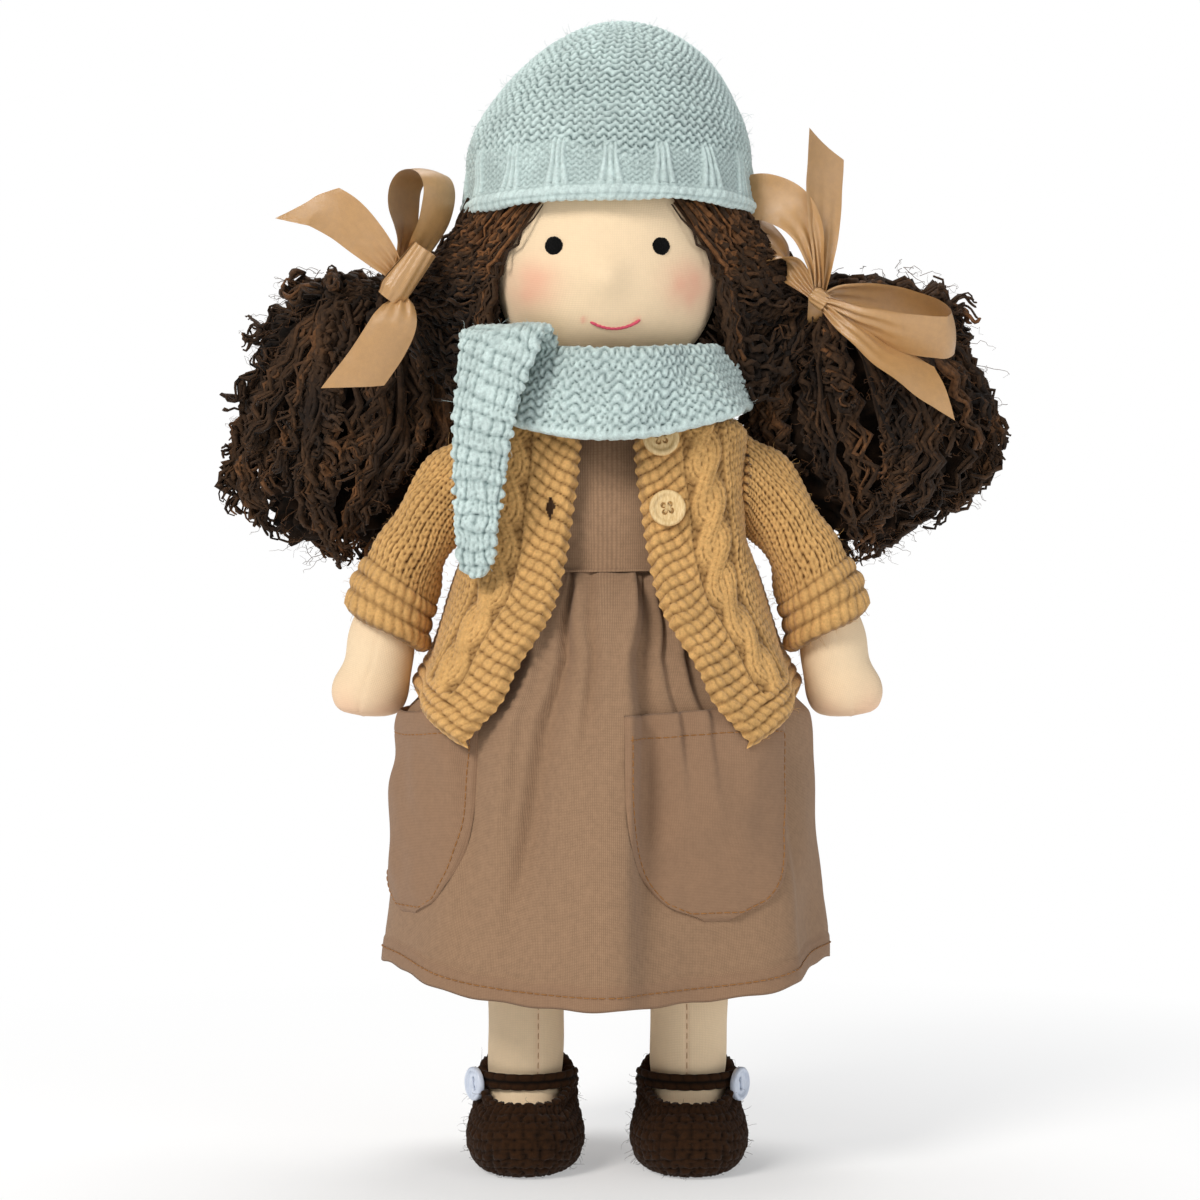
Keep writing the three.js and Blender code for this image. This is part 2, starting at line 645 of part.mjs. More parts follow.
function makeShoe() {
  const outside = gap + shoeWall;
  const toe = ballOf(footHalfWidth + outside, footHalfLength + outside, footHalfHeight + outside, footAt);
  const cup = postOf(cupHalfWidth, cupHalfDepth, footMiddle, heelTop);
  const hollow = cut(
    ballOf(footHalfWidth + gap, footHalfLength + gap, footHalfHeight + gap, footAt),
    blockOf(point(-overrun, -overrun, soleThickness - overrun), point(overrun, overrun, soleThickness)),
  );
  const bore = postOf(ankleRadius + gap, ankleRadius + gap, footMiddle, heelTop + overrun);
  const mouthTop = heelTop + overrun;
  const mouth = postOf(ankleRadius + gap, openingHalfLength, footMiddle, mouthTop, -openingForward);
  const fallen = quarterTop - quarterSlopeShare * overrun;
  const overFront = new THREE.Shape([
    new THREE.Vector2(-quarterBack, quarterTop),
    new THREE.Vector2(-quarterBack, quarterTop + overrun),
    new THREE.Vector2(-quarterBack - overrun, quarterTop + overrun),
    new THREE.Vector2(-quarterBack - overrun, fallen),
  ]);
  const slope = new THREE.ExtrudeGeometry(overFront, { depth: 2 * overrun, bevelEnabled: false });
  slope.rotateX(PI / 2).rotateZ(PI / 2).translate(-overrun, 0, 0);
  const frontCup = cut(cup, slope);
  const below = blockOf(point(-overrun, -overrun, -overrun), point(overrun, overrun, 0));
  return cut(join(toe, frontCup), below, hollow, bore, mouth);
}

// The strap: half an oval band round the front of the ankle.
function makeStrap() {
  const front = quarterBack + gap;
  const arc = (halfWidth, halfDepth) =>
    Array.from({ length: 17 }, (_, step) => {
      const angle = (step / 8 - 1) * Math.acos(front / halfDepth);
      return new THREE.Vector2(...onOval(angle, halfWidth, halfDepth));
    });
  const outer = arc(cupHalfWidth, cupHalfDepth);
  const inner = arc(cupHalfWidth - strapThickness, cupHalfDepth - strapThickness).reverse();
  const outline = new THREE.Shape([...outer, ...inner]);
  const band = new THREE.ExtrudeGeometry(outline, { depth: strapWidth, bevelEnabled: false });
  return band.translate(0, 0, strapBottom);
}

// A sewn button, lying on its back with its face up: a raised rim and a ring of thread holes.
function makeButton(radius, thickness, holes) {
  const dish = thickness * 0.35;
  const outline = [
    [0, 0], [radius * 0.94, 0], [radius, thickness * 0.5], [radius * 0.93, thickness],
    [radius * 0.74, thickness], [radius * 0.64, thickness - dish], [0, thickness - dish],
  ].map(([across, up]) => new THREE.Vector2(across, up));
  const disc = new THREE.LatheGeometry(outline, 18).rotateX(PI / 2);
  const bores = Array.from({ length: holes }, (_, hole) => {
    const angle = ((hole + 0.5) / holes) * 2 * PI;
    const bore = postOf(radius * 0.13, radius * 0.13, -thickness, 2 * thickness, 0, 6);
    return bore.translate(radius * 0.25 * cos(angle), radius * 0.25 * sin(angle), 0);
  });
  return cut(disc, ...bores);
}

// Dress

function makeBodice() {
  const heights = [waistHeight + gap, ...bodiceHeights];
  const outer = heights.map((z) => torsoRing(z, gap + bodiceThickness));
  const inner = heights.map((z) => torsoRing(z, gap)).reverse();
  const armholes = rodOf(bodiceArmholeRadius, 0, shoulderJoint, -overrun, overrun);
  return cut(loft([...outer, ...inner], { endless: true }), armholes);
}

function makeSkirt() {
  const skin = (offset) => skirtRowShares.map((share) =>
    Array.from({ length: 44 }, (_, side) => {
      const angle = (side / 44) * 2 * PI;
      const hem = waistHeight - skirtLength + skirtSideRise * sin(angle) ** 2;
      return onSkirt(angle, mix(waistHeight, hem, share), offset);
    }));
  return loft([...skin(0), ...skin(-clothThickness).reverse()], { endless: true });
}

// A patch pocket, sewn on at its sides and round bottom.
function makePocket(middleAngle) {
  const halfAngle = 0.445;
  const rowShares = [0, 0.25, 0.5, 0.7, 0.85, 0.94, 1];
  const skin = (offset) => rowShares.map((down) =>
    Array.from({ length: 9 }, (_, column) => {
      const angle = middleAngle + halfAngle * along(pocketShares, down) * (column / 4 - 1);
      return onSkirt(angle, waistHeight - pocketDrop - pocketDepth * down, offset);
    }));
  return sheetOf(skin(pocketGap + clothThickness), skin(pocketGap));
}

// Cardigan

function makeCardiganBody() {
  const riseShares = [0, 0.11, 0.22, 0.33, 0.44, 0.55, 0.66, 0.78, 0.9, 0.955, 1];
  const skin = (inward) => riseShares.map((rise) =>
    Array.from({ length: 33 }, (_, column) => onCardigan(column / 32, rise, inward)));
  const shell = sheetOf(skin(0), skin(knitThickness));
  const armholes = rodOf(armholeRadius, 0, shoulderJoint, -overrun, overrun);
  const hole = [
    [-buttonholeHalfWidth, 0], [0, -buttonholeHalfHeight],
    [buttonholeHalfWidth, 0], [0, buttonholeHalfHeight],
  ].map(([x, z]) => [x - lowerButtonOffset, z + lowerButtonHeight]);
  return cut(shell, armholes, platesFrom(hole, -overrun, 0));
}

function makeSleeve(side) {
  const places = [0, 0.15, 0.32, 0.5, 0.68, 0.85, 1];
  const skin = (inward) => places.map((place) => sleeveRing(side, place, sleeveOuter(place) - inward));
  return loft([...skin(0), ...skin(sleeveThickness).reverse()], { endless: true });
}

// Scarf: a thick wrap round the neck, with one end hanging over its front.
function makeScarf() {
  const turned = (halfWidth, halfDepth, forward, height, frontRise, sideRise) =>
    levelRing(32, height, halfWidth, halfDepth, { middleY: -forward }).map((corner, side) => {
      const angle = (side / 32) * 2 * PI;
      corner.z += frontRise * cos(angle) + sideRise * sin(angle) ** 2;
      return corner;
    });
  const frontRise = scarfForward / 2.5;
  const topSideRise = scarfSideRise / 2.5;
  const middle = (top, bottom) => mix(top, bottom, 0.5);
  const inside = scarfThickness;
  const bore = neckRadius + gap + 2 * threadRadius + gap;
  const under = cardiganTop + gap;
  const chinRadius = headHalfWidth * along(headShares, chinShare) - gap;
  const chinHeight = headBase + headHeight * chinShare - 4 * gap;
  const halfHeight = middle(scarfTopHeight, scarfBottomHeight);
  const wide = scarfBottomHalfWidth;
  const deep = scarfBottomHalfDepth;
  const beltWidth = middle(scarfTopHalfWidth, wide) + gap;
  const beltDepth = middle(scarfTopHalfDepth, deep) + gap;
  const rings = [
    turned(scarfTopHalfWidth, scarfTopHalfDepth, scarfForward / 2, scarfTopHeight, frontRise, topSideRise),
    turned(beltWidth, beltDepth, scarfForward * 0.8, halfHeight, 0, scarfSideRise * 0.7),
    turned(wide, deep, scarfForward, scarfBottomHeight, -frontRise, scarfSideRise),
    turned(wide - inside, deep - inside, scarfForward, scarfBottomHeight, -frontRise, scarfSideRise),
    turned(wide - 2 * inside, deep - 2 * inside, scarfForward, under, 0, 0),
    turned(bore, bore, 0, under, 0, 0),
    turned(bore, bore, 0, headBase - 2 * gap, 0, 0),
    turned(chinRadius, chinRadius, 0, chinHeight, 0, 0),
  ];
  return join(loft(rings, { endless: true }), makeScarfTail());
}

// The scarf's hanging end, on a route over the wrap's rim and down in front of it.
function makeScarfTail() {
  const routeShares = [
  [-0.74, -0.55, 0.94, 0.8], [-0.85, -0.72, 1.32, 0.95], [-0.97, -0.92, 1.4, 1],
  [-1.05, -1.04, 1.02, 0.96], [-1.08, -1.08, 0.38, 0.88], [-1.1, -1.05, -0.34, 0.76],
  [-1.1, -1.02, -1.22, 0.6], [-1.1, -1, -2.06, 0.38],
];
  const route = new THREE.CatmullRomCurve3(routeShares.map(([x, y, z]) => {
    const height = scarfBottomHeight + (scarfTopHeight - scarfBottomHeight) * z;
    return point(x * scarfTopHalfWidth, y * scarfTopHalfDepth, height);
  }));
  const widths = routeShares.map(([, , , width], station) => [station / (routeShares.length - 1), width]);
  const directions = (place) => {
    const angle = mix(0.44, 0.17, place);
    return point(cos(angle), -sin(angle), 0);
  };
  const halfWidth = (place) => scarfTailHalfWidth * along(widths, place);
  return stripOf(route, directions, halfWidth, scarfThickness, 20);
}

// A flat strip along a route. Its width lies along the direction given at each place.
function stripOf(route, directions, halfWidth, thickness, steps, edges = [-1, 1]) {
  const corners = (lift) => Array.from({ length: steps + 1 }, (_, step) => {
    const place = step / steps;
    const heading = route.getTangent(place);
    const across = directions(place);
    across.addScaledVector(heading, -across.dot(heading)).normalize();
    const face = heading.clone().cross(across);
    return edges.map((edge) =>
      route.getPoint(place).addScaledVector(across, edge * halfWidth(place)).addScaledVector(face, lift));
  });
  return sheetOf(corners(thickness / 2), corners(-thickness / 2));
}

// Hair and hat

// The hair's half width and half depth at a height, outside, as a cap over the head.
function hairSection(z) {
  const share = along(headShares, (z - headBase) / (headHeight + hairTop));
  return [headHalfWidth * share + hairSide, headHalfDepth * share + hairDepth];
}

const tieMiddle = (side) => point(side * tieOffset, tieBack, tieHeight);

// The gathered hair between the cap and a hair band.
function makeHairRoot(side) {
  const start = headHalfWidth + gap;
  const end = tieOffset - gap;
  const shares = [[0, 1], [0.3, 0.8], [0.6, 0.36], [0.85, 0.08], [1, 0]];
  const rings = [0, 0.2, 0.4, 0.6, 0.8, 1].map((place) => {
    const share = along(shares, place);
    const halfDepth = mix(tieRadius, rootHalfDepth, share);
    const halfHeight = mix(tieRadius, rootHalfHeight, share);
    const middleY = mix(tieBack / 2, tieBack, place);
    return Array.from({ length: 14 }, (_, corner) => {
      const angle = (corner / 14) * 2 * PI;
      const y = middleY + halfDepth * sin(angle);
      return point(side * mix(start, end, place), y, tieHeight + gap + halfHeight * cos(angle));
    });
  });
  return loft(rings);
}

function makeHairCap() {
  const stretch = (headHeight + hairTop) / headHeight;
  const outer = skullHeights.map((z) => {
    const height = z === hairBottom ? z : headBase + (z - headBase) * stretch;
    return levelRing(28, height, ...hairSection(height), { middleY: hairBack });
  });
  const inner = skullHeights.map((z) => {
    const [halfWidth, halfDepth] = headSection(z);
    return levelRing(28, z, halfWidth + gap, halfDepth + gap);
  });
  const tips = [point(0, 0, headTop + 2 * gap), point(0, hairBack, headTop + hairTop)];
  const cap = loft([...inner.reverse(), ...outer], { tips });
  const openingHeight = hatRim - hairBottom;
  const edge = [-0.4, ...hairOpeningShares.map(([share]) => share)].map((share) =>
    [headHalfWidth * along(hairOpeningShares, share), hairBottom + openingHeight * share]);
  const outline = [...edge, ...edge.map(([x, z]) => [-x, z]).reverse()];
  const face = platesFrom(outline, -overrun, -tieBack);
  return join(cut(cap, face), makeHairRoot(-1), makeHairRoot(1));
}

function makeHairBand(side) {
  const inside = tieRadius + 2 * gap;
  const section = new THREE.Path();
  section.absellipse(inside + bandThickness / 2, 0, bandThickness / 2, bandWidth / 2, 0, 2 * PI);
  const ring = new THREE.LatheGeometry(section.getPoints(3), 16).rotateZ(PI / 2);
  const middle = tieMiddle(side);
  return ring.translate(middle.x, middle.y, middle.z);
}

// The space that the loose hair leaves to an arm: all that lies under the sleeve's upper edge.
function makeArmSpace(side) {
  const edge = [0, 0.25, 0.5, 0.75, 1].map((place) => {
    const at = sleeveRoute.getPoint(place);
    const angle = (along(sleeveTurnShares, place) * PI) / 2;
    const reach = sleeveOuter(place) + pigtailClearance;
    return [side * (at.x + reach * cos(angle)), at.y + reach * sin(angle)];
  });
  const floor = pigtailBottom - overrun;
  const outside = cuffMiddle[0] + sleeveRadius + 2 * pigtailClearance;
  const outline = [[0, edge[0][1]], ...edge, [side * outside, floor], [0, floor]];
  return platesFrom(side > 0 ? outline.reverse() : outline, -overrun, pigtailArmDepth);
}

// A bunch of loose hair under its band, with the space of the arm and the collar left free.
function makePigtail(side) {
  const rings = pigtailRowShares.map((share) => {
    const outer = pigtailReach * along(pigtailOuterShares, share);
    const inner = pigtailReach * along(pigtailInnerShares, share);
    const front = pigtailBack * along(pigtailFrontShares, share);
    const back = pigtailBack * along(pigtailBackShares, share);
    const z = mix(pigtailBottom, pigtailTop, share);
    const middleX = (outer + inner) / 2;
    const middleY = (front + back) / 2;
    const ring = levelRing(20, z, (outer - inner) / 2, (back - front) / 2, { squareness: 2.3 });
    return ring.map(({ x, y }, corner) => {
      const lump = 1 - 0.025 * (1 + cos(5 * ((corner / 20) * 2 * PI) + 11 * share));
      return point(side * (middleX + x * (abs(x) > abs(y) ? 1 : lump)), middleY + y * lump, z);
    });
  });
  const middle = tieMiddle(side);
  const bandSpace = tieRadius + 2 * gap + bandThickness + gap + ribbonThickness + 2 * gap;
  const bandEnd = side * (tieOffset + bandWidth / 2 + 2 * gap);
  const collar = postOf(collarClearance, collarClearance, pigtailBottom - overrun, hairBottom - gap);
  const loose = cut(
    loft(rings),
    makeArmSpace(side),
    collar,
    rodOf(bandSpace, middle.y, middle.z, bandEnd - side * overrun, bandEnd),
  );
  const rootStart = side * (tieOffset + gap);
  const rootEnd = side * (tieOffset + 3 * bandWidth);
  const root = rodOf(tieRadius - gap, middle.y, middle.z, rootStart, rootEnd);
  return join(loose, root);
}

function makeHat() {
  const wall = hatThickness;
  const rimSection = hairSection(hatRim);
  const halfWidth = rimSection[0] + gap + wall;
  const halfDepth = rimSection[1] + gap + wall;
  const skin = (inward) => hatShares.map(([rise, share]) => {
    const z = mix(hatRim, hatTop - inward, rise);
    return levelRing(28, z, halfWidth * share - inward, halfDepth * share - inward, { middleY: hairBack });
  });
  const tips = [point(0, hairBack, hatTop - wall), point(0, hairBack, hatTop)];
  return loft([...skin(wall).reverse(), ...skin(0)], { tips });
}

// Hair ribbons: loops, tails and the knot are shares of the ribbon's width, seen from the knot.
// Each loop has its direction, reach and depth; each tail has the points of its route.
const bows = {
  right: {
    loops: [
      { towards: [-0.02, -0.05, 1], reachShare: 2.2, depthShare: 0.22, turn: -0.5 },
      { towards: [0.5, -0.6, 0.85], reachShare: 1.35, depthShare: 0.3, turn: 0.6 },
    ],
    tails: [
      {
        shares: [[0, 0, 0], [-0.5, -0.3, 0.5], [-1.05, -0.25, 1.2], [-1.75, 0, 1.4], [-2.2, 0.05, 1.3]],
        across: [0.45, 0.1, -0.9],
      },
      {
        shares: [[0, 0, 0], [-0.22, -0.45, -0.45], [-0.6, -0.6, -1.05], [-0.95, -0.5, -1.7]],
        across: [0.92, 0.1, -0.3],
      },
    ],
  },
  left: {
    loops: [
      { towards: [0.9, -0.3, -0.28], reachShare: 2.3, depthShare: 0.4, turn: -1.25 },
      { towards: [-0.26, -0.08, 0.96], reachShare: 1.85, depthShare: 0.2, turn: 0.4 },
    ],
    tails: [
      {
        shares: [[0, 0, 0], [0.45, -0.6, -0.4], [1.1, -0.75, -0.95], [2, -0.6, -1.55], [2.8, -0.45, -1.9]],
        across: [0.4, 0.1, 0.9],
      },
      {
        shares: [[0, 0, 0], [0.05, 0, 0.8], [0.1, 0.15, 1.8], [0.15, 0.15, 2.75]],
        across: [0.85, -0.5, 0],
      },
    ],
  },
};

function makeBow(side, { loops, tails }) {
  const band = tieRadius + 2 * gap + bandThickness;
  const middle = tieMiddle(side);
  const wrapInside = band + gap;
  const wrapOutside = wrapInside + ribbonThickness;
  const knot = middle.clone().add(point(0, -wrapInside - knotHalfDepth, 0));
  const pieces = [ballOf(knotHalfWidth, knotHalfDepth, knotHalfWidth, knot, 10, 6)];
  const wrap = new THREE.LatheGeometry(
    [
      [wrapInside, -wrapWidth / 2], [wrapOutside, -wrapWidth / 2], [wrapOutside, wrapWidth / 2],
      [wrapInside, wrapWidth / 2], [wrapInside, -wrapWidth / 2],
    ].map(([across, up]) => new THREE.Vector2(across, up)),
    18,
  ).rotateZ(PI / 2).translate(middle.x, middle.y, middle.z);
  pieces.push(wrap);
  const halfRibbon = ribbonWidth / 2;
  for (const { towards, reachShare, depthShare, turn } of loops) {
    const heading = point(...towards).normalize();
    const away = point(sin(turn) * heading.z, cos(turn), -sin(turn) * heading.x);
    away.addScaledVector(heading, -away.dot(heading)).normalize();
    const across = heading.clone().cross(away);
    const stations = Array.from({ length: 12 }, (_, step) => {
      const round = (step / 11) * 2 * PI;
      const out = (reachShare * ribbonWidth * (1 - cos(round))) / 2;
      const off = depthShare * ribbonWidth * sin(round) * sin(round / 2) ** 0.5;
      return knot.clone().addScaledVector(heading, out).addScaledVector(away, -off);
    });
    const width = (place) => halfRibbon * (0.4 + 0.6 * sin(PI * place) ** 0.6);
    const route = new THREE.CatmullRomCurve3(stations);
    pieces.push(stripOf(route, () => across.clone(), width, ribbonThickness, 11));
  }
  for (const { shares, across } of tails) {
    const steps = shares.map((share) => point(...share).multiplyScalar(ribbonWidth));
    const route = new THREE.CatmullRomCurve3(steps.map((step) => step.add(knot)));
    const width = (place) => halfRibbon * mix(0.4, 1, min(1, place * 2.5));
    pieces.push(stripOf(route, () => point(...across), width, ribbonThickness, 7));
  }
  return join(...pieces);
}

// Finishes

const finish = (color, roughness) => new THREE.MeshStandardMaterial({ color, roughness, metalness: 0 });
const skin = finish("#f0dcb4", 0.9);
const eyeThread = finish("#141214", 0.6);
const mouthThread = finish("#de6473", 0.7);
const whiteThread = finish("#e9e2cf", 0.9);
const hair = finish("#3c2a1c", 0.95);
const elastic = finish("#35271c", 0.9);
const satin = finish("#c9a368", 0.35);
const paleKnit = finish("#b2d0ce", 0.95);
const mustardKnit = finish("#c49858", 0.95);
const dressCloth = finish("#8a705c", 0.9);
const wood = finish("#deba87", 0.5);
const shoeYarn = finish("#3e2a18", 0.95);
const shoeButton = finish("#cdd7e8", 0.3);

// Assembly

const doll = new THREE.Group();

function add(name, geometry, material, group = doll) {
  const mesh = new THREE.Mesh(geometry, material);
  mesh.name = name;
  group.add(mesh);
  return mesh;
}

// Lays a flat piece, whose back is at its own zero, on a surface.
function seat(mesh, { at, out }, clearance) {
  mesh.quaternion.setFromUnitVectors(point(0, 0, 1), out);
  mesh.position.copy(at).addScaledVector(out, clearance);
}

add("torso", makeTorso(), skin);
add("neck_tie", makeNeckTie(), whiteThread);
add("head", makeHead(), skin);
add("mouth", makeMouth(), mouthThread);
add("hair_cap", makeHairCap(), hair);
add("hat", makeHat(), paleKnit);
add("scarf", makeScarf(), paleKnit);
add("dress_bodice", makeBodice(), dressCloth);
add("skirt", makeSkirt(), dressCloth);
add("left_pocket", makePocket(0.515), dressCloth);
add("right_pocket", makePocket(-1.108), dressCloth);
add("cardigan_body", makeCardiganBody(), mustardKnit);

for (const [name, x, z] of [
  ["upper_button", upperButtonOffset, upperButtonHeight],
  ["lower_button", lowerButtonOffset, lowerButtonHeight],
]) {
  const button = add(name, makeButton(woodButtonRadius, woodButtonThickness, 4), wood);
  seat(button, onCardiganFront(x, z), 2 * gap);
}

for (const [name, side] of [["left", 1], ["right", -1]]) {
  seat(add(name + "_eye", makeEye(), eyeThread), onFace(side * eyeOffset, eyeHeight), 2 * gap);
  add(name + "_hair_band", makeHairBand(side), elastic);
  add(name + "_bow", makeBow(side, bows[name]), satin);
  add(name + "_pigtail", makePigtail(side), hair);
  add(name + "_arm", makeArm(side), skin);
  add(name + "_sleeve", makeSleeve(side), mustardKnit);
  const leg = new THREE.Group();
  leg.position.x = side * legOffset;
  add(name + "_leg", makeLeg(), skin, leg);
  add(name + "_shoe", makeShoe(), shoeYarn, leg);
  add(name + "_shoe_strap", makeStrap(), shoeYarn, leg);
  const [x, y] = onOval(side * shoeButtonAngle, cupHalfWidth, cupHalfDepth);
  const height = strapBottom + strapWidth / 2 - shoeButtonDrop;
  const disc = makeButton(shoeButtonRadius, shoeButtonThickness, 2);
  const out = outOfOval(x, y, cupHalfWidth, cupHalfDepth);
  seat(add(name + "_shoe_button", disc, shoeButton, leg), { at: point(x, y, height), out }, gap);
  doll.add(leg);
}

export default doll;
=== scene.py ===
# %% [markdown]
# A Waldorf doll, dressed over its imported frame. The frame holds plain solids in metres, with +Z up and
# the doll facing -Y. Each soft piece is made again here as a surface worked out with numpy, so that its
# stitches, folds and curls are real geometry, and takes the place of its plain solid.

import bpy
import numpy as np
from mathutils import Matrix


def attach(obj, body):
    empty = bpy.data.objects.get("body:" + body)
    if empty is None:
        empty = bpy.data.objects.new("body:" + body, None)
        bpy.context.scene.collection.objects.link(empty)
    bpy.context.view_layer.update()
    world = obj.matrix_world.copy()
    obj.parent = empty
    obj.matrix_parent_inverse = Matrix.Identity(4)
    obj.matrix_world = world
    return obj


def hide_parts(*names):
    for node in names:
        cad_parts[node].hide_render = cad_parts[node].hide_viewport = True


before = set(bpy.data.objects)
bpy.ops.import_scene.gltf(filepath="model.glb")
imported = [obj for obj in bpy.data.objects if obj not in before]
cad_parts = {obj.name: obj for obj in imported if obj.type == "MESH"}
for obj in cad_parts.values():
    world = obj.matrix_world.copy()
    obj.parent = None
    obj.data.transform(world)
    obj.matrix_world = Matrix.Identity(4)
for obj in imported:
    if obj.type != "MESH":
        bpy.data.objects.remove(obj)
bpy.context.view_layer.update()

MM = 0.001
SIDES = {"left": 1, "right": -1}

# %% [markdown]
# The camera stands a metre in front of the doll, level with its waist, so that one millimetre on the
# doll's middle plane is the same length in the picture as in the photograph. It looks straight along +Y.

# %% Camera
CAMERA_AWAY = 1.0
CAMERA_HEIGHT = 0.197
CAMERA_SIDE = -0.0025
camera_data = bpy.data.cameras.new("camera")
camera_data.sensor_width, camera_data.lens = 36, 85.5
camera = bpy.data.objects.new("camera", camera_data)
camera.location = (CAMERA_SIDE, -CAMERA_AWAY, CAMERA_HEIGHT)
camera.rotation_euler = (np.pi / 2, 0, 0)
bpy.context.collection.objects.link(camera)
bpy.context.scene.camera = camera

# %% [markdown]
# Most pieces are a grid of points. A grid is bent into a shape by a formula of two numbers, its faces come
# from the grid's own counting, and a fan of triangles closes an end where the shape needs one. The grid may
# carry a UV map in millimetres and values for its material. Threads, fibres and locks are many thin tubes.


# %% Small tools
TINY = 1e-9
FULL_TURN = 2 * np.pi


def unit(vectors):
    """Vectors divided by their own lengths."""
    return vectors / np.maximum(np.linalg.norm(vectors, axis=-1, keepdims=True), TINY)


def together(*parts):
    """Arrays brought to one shape, as the last axis of one array."""
    return np.stack(np.broadcast_arrays(*parts), -1)


def turns_of(columns):
    """The angles of a closed grid's columns."""
    return np.arange(columns) / columns * FULL_TURN


def wrapped_uv(angle, radius, level):
    """A UV map round a closed grid: the arc of a radius across, and a level up. Its last column is the
    first one again, a full turn on."""
    return together(np.append(angle, FULL_TURN)[None] * radius, level)


def run_of(points, axis=0):
    """The distance run along the lines of an array of points, the sum of their steps, from 0 at the start."""
    steps = np.linalg.norm(np.diff(points, axis=axis), axis=-1)
    return np.concatenate([np.zeros_like(np.take(steps, [0], axis)), np.cumsum(steps, axis)], axis)


print("a square's run:", run_of(np.array([(0, 0), (1, 0), (1, 1), (0, 1), (0, 0)])))


# %% Grids and meshes
def grid_faces(rows, columns, closed):
    """Four corners of each cell of a grid. A closed grid's last column meets its first; the second result
    counts its columns on without turning back, for a UV map that doesn't tear there."""
    row, column = np.meshgrid(np.arange(rows - 1), np.arange(columns - (not closed)), indexing="ij")
    wide = columns + closed
    after = (column + 1) % columns
    quads = [row * columns + column, row * columns + after]
    quads += [(row + 1) * columns + after, (row + 1) * columns + column]
    corners = [row * wide + column, row * wide + column + 1]
    corners += [(row + 1) * wide + column + 1, (row + 1) * wide + column]
    return np.stack(quads, -1).reshape(-1, 4), np.stack(corners, -1).reshape(-1, 4)


def new_piece(name, points, faces, body, material, uv=None, values=None):
    """A mesh of points in millimetres and of face arrays, each with its own count of corners."""
    mesh = bpy.data.meshes.new(name)
    mesh.vertices.add(len(points))
    mesh.vertices.foreach_set("co", (points * MM).astype(np.float32).ravel())
    corners = np.concatenate([part.ravel() for part in faces])
    counts = np.concatenate([np.full(len(part), part.shape[1]) for part in faces])
    mesh.loops.add(len(corners))
    mesh.loops.foreach_set("vertex_index", corners.astype(np.int32))
    mesh.polygons.add(len(counts))
    starts = np.concatenate([[0], np.cumsum(counts)[:-1]])
    mesh.polygons.foreach_set("loop_start", starts.astype(np.int32))
    if uv is not None:
        mesh.uv_layers.new(name="cloth").data.foreach_set("uv", uv.astype(np.float32).ravel())
    for key, value in (values or {}).items():
        attribute = mesh.attributes.new(key, "FLOAT", "POINT")
        attribute.data.foreach_set("value", value.astype(np.float32).ravel())
    mesh.update(calc_edges=True)
    mesh.validate()
    mesh.shade_smooth()
    mesh.materials.append(material)
    piece = bpy.data.objects.new(name, mesh)
    bpy.context.collection.objects.link(piece)
    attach(piece, body)
    return piece


def outward(points, closed, facing=None):
    """The unit normals of a grid: the cross product of its steps along and across. They face away from
    the grid's middle, or towards a given direction."""
    down = np.gradient(points, axis=0)
    around = (np.roll(points, -1, 1) - np.roll(points, 1, 1)) / 2
    normal = unit(np.cross(around if closed else np.gradient(points, axis=1), down))
    if facing is None:
        facing = points - points.mean(axis=1, keepdims=True)
    return normal * (1 if (normal * facing).sum(-1).mean() > 0 else -1)


def grid_piece(name, points, body, material, closed=False, uv=None, values=None, ends=(), keep=None):
    """A surface over a grid of points. ends names the rows, 0 or -1, that a fan of triangles closes, and
    keep says which cells stay where the surface has a hole."""
    rows, columns = points.shape[:2]
    quads, corners = grid_faces(rows, columns, closed)
    if keep is not None:
        quads, corners = quads[keep.ravel()], corners[keep.ravel()]
    middle = points.mean(axis=(0, 1))
    flat = points.reshape(-1, 3)
    a, b, c = flat[quads[:, 0]], flat[quads[:, 1]], flat[quads[:, 3]]
    turned = (np.cross(b - a, c - a) * (a - middle)).sum() < 0
    if turned:
        quads, corners = quads[:, ::-1], corners[:, ::-1]
    faces, hubs = [quads], []
    coordinates = [] if uv is None else [uv.reshape(-1, 2)[corners].reshape(-1, 2)]
    for end in ends:
        ring = np.arange(columns) + (0 if end == 0 else (rows - 1) * columns)
        hub = np.full(columns, len(flat) + len(hubs))
        fan = np.stack([hub, np.roll(ring, -1), ring], -1)
        if (end == 0) == turned:
            fan = fan[:, ::-1]
        hubs.append(points[end].mean(axis=0))
        faces.append(fan)
        if uv is not None:
            coordinates.append(np.repeat(uv[end, :columns], 3, axis=0))
    values = {
        key: np.concatenate([value.ravel(), np.full(len(hubs), value.mean())]) for key, value in (values or {}).items()
    }
    flat = np.concatenate([flat, np.reshape(hubs, (-1, 3))])
    uv = None if uv is None else np.concatenate(coordinates)
    return new_piece(name, flat, faces, body, material, uv, values)


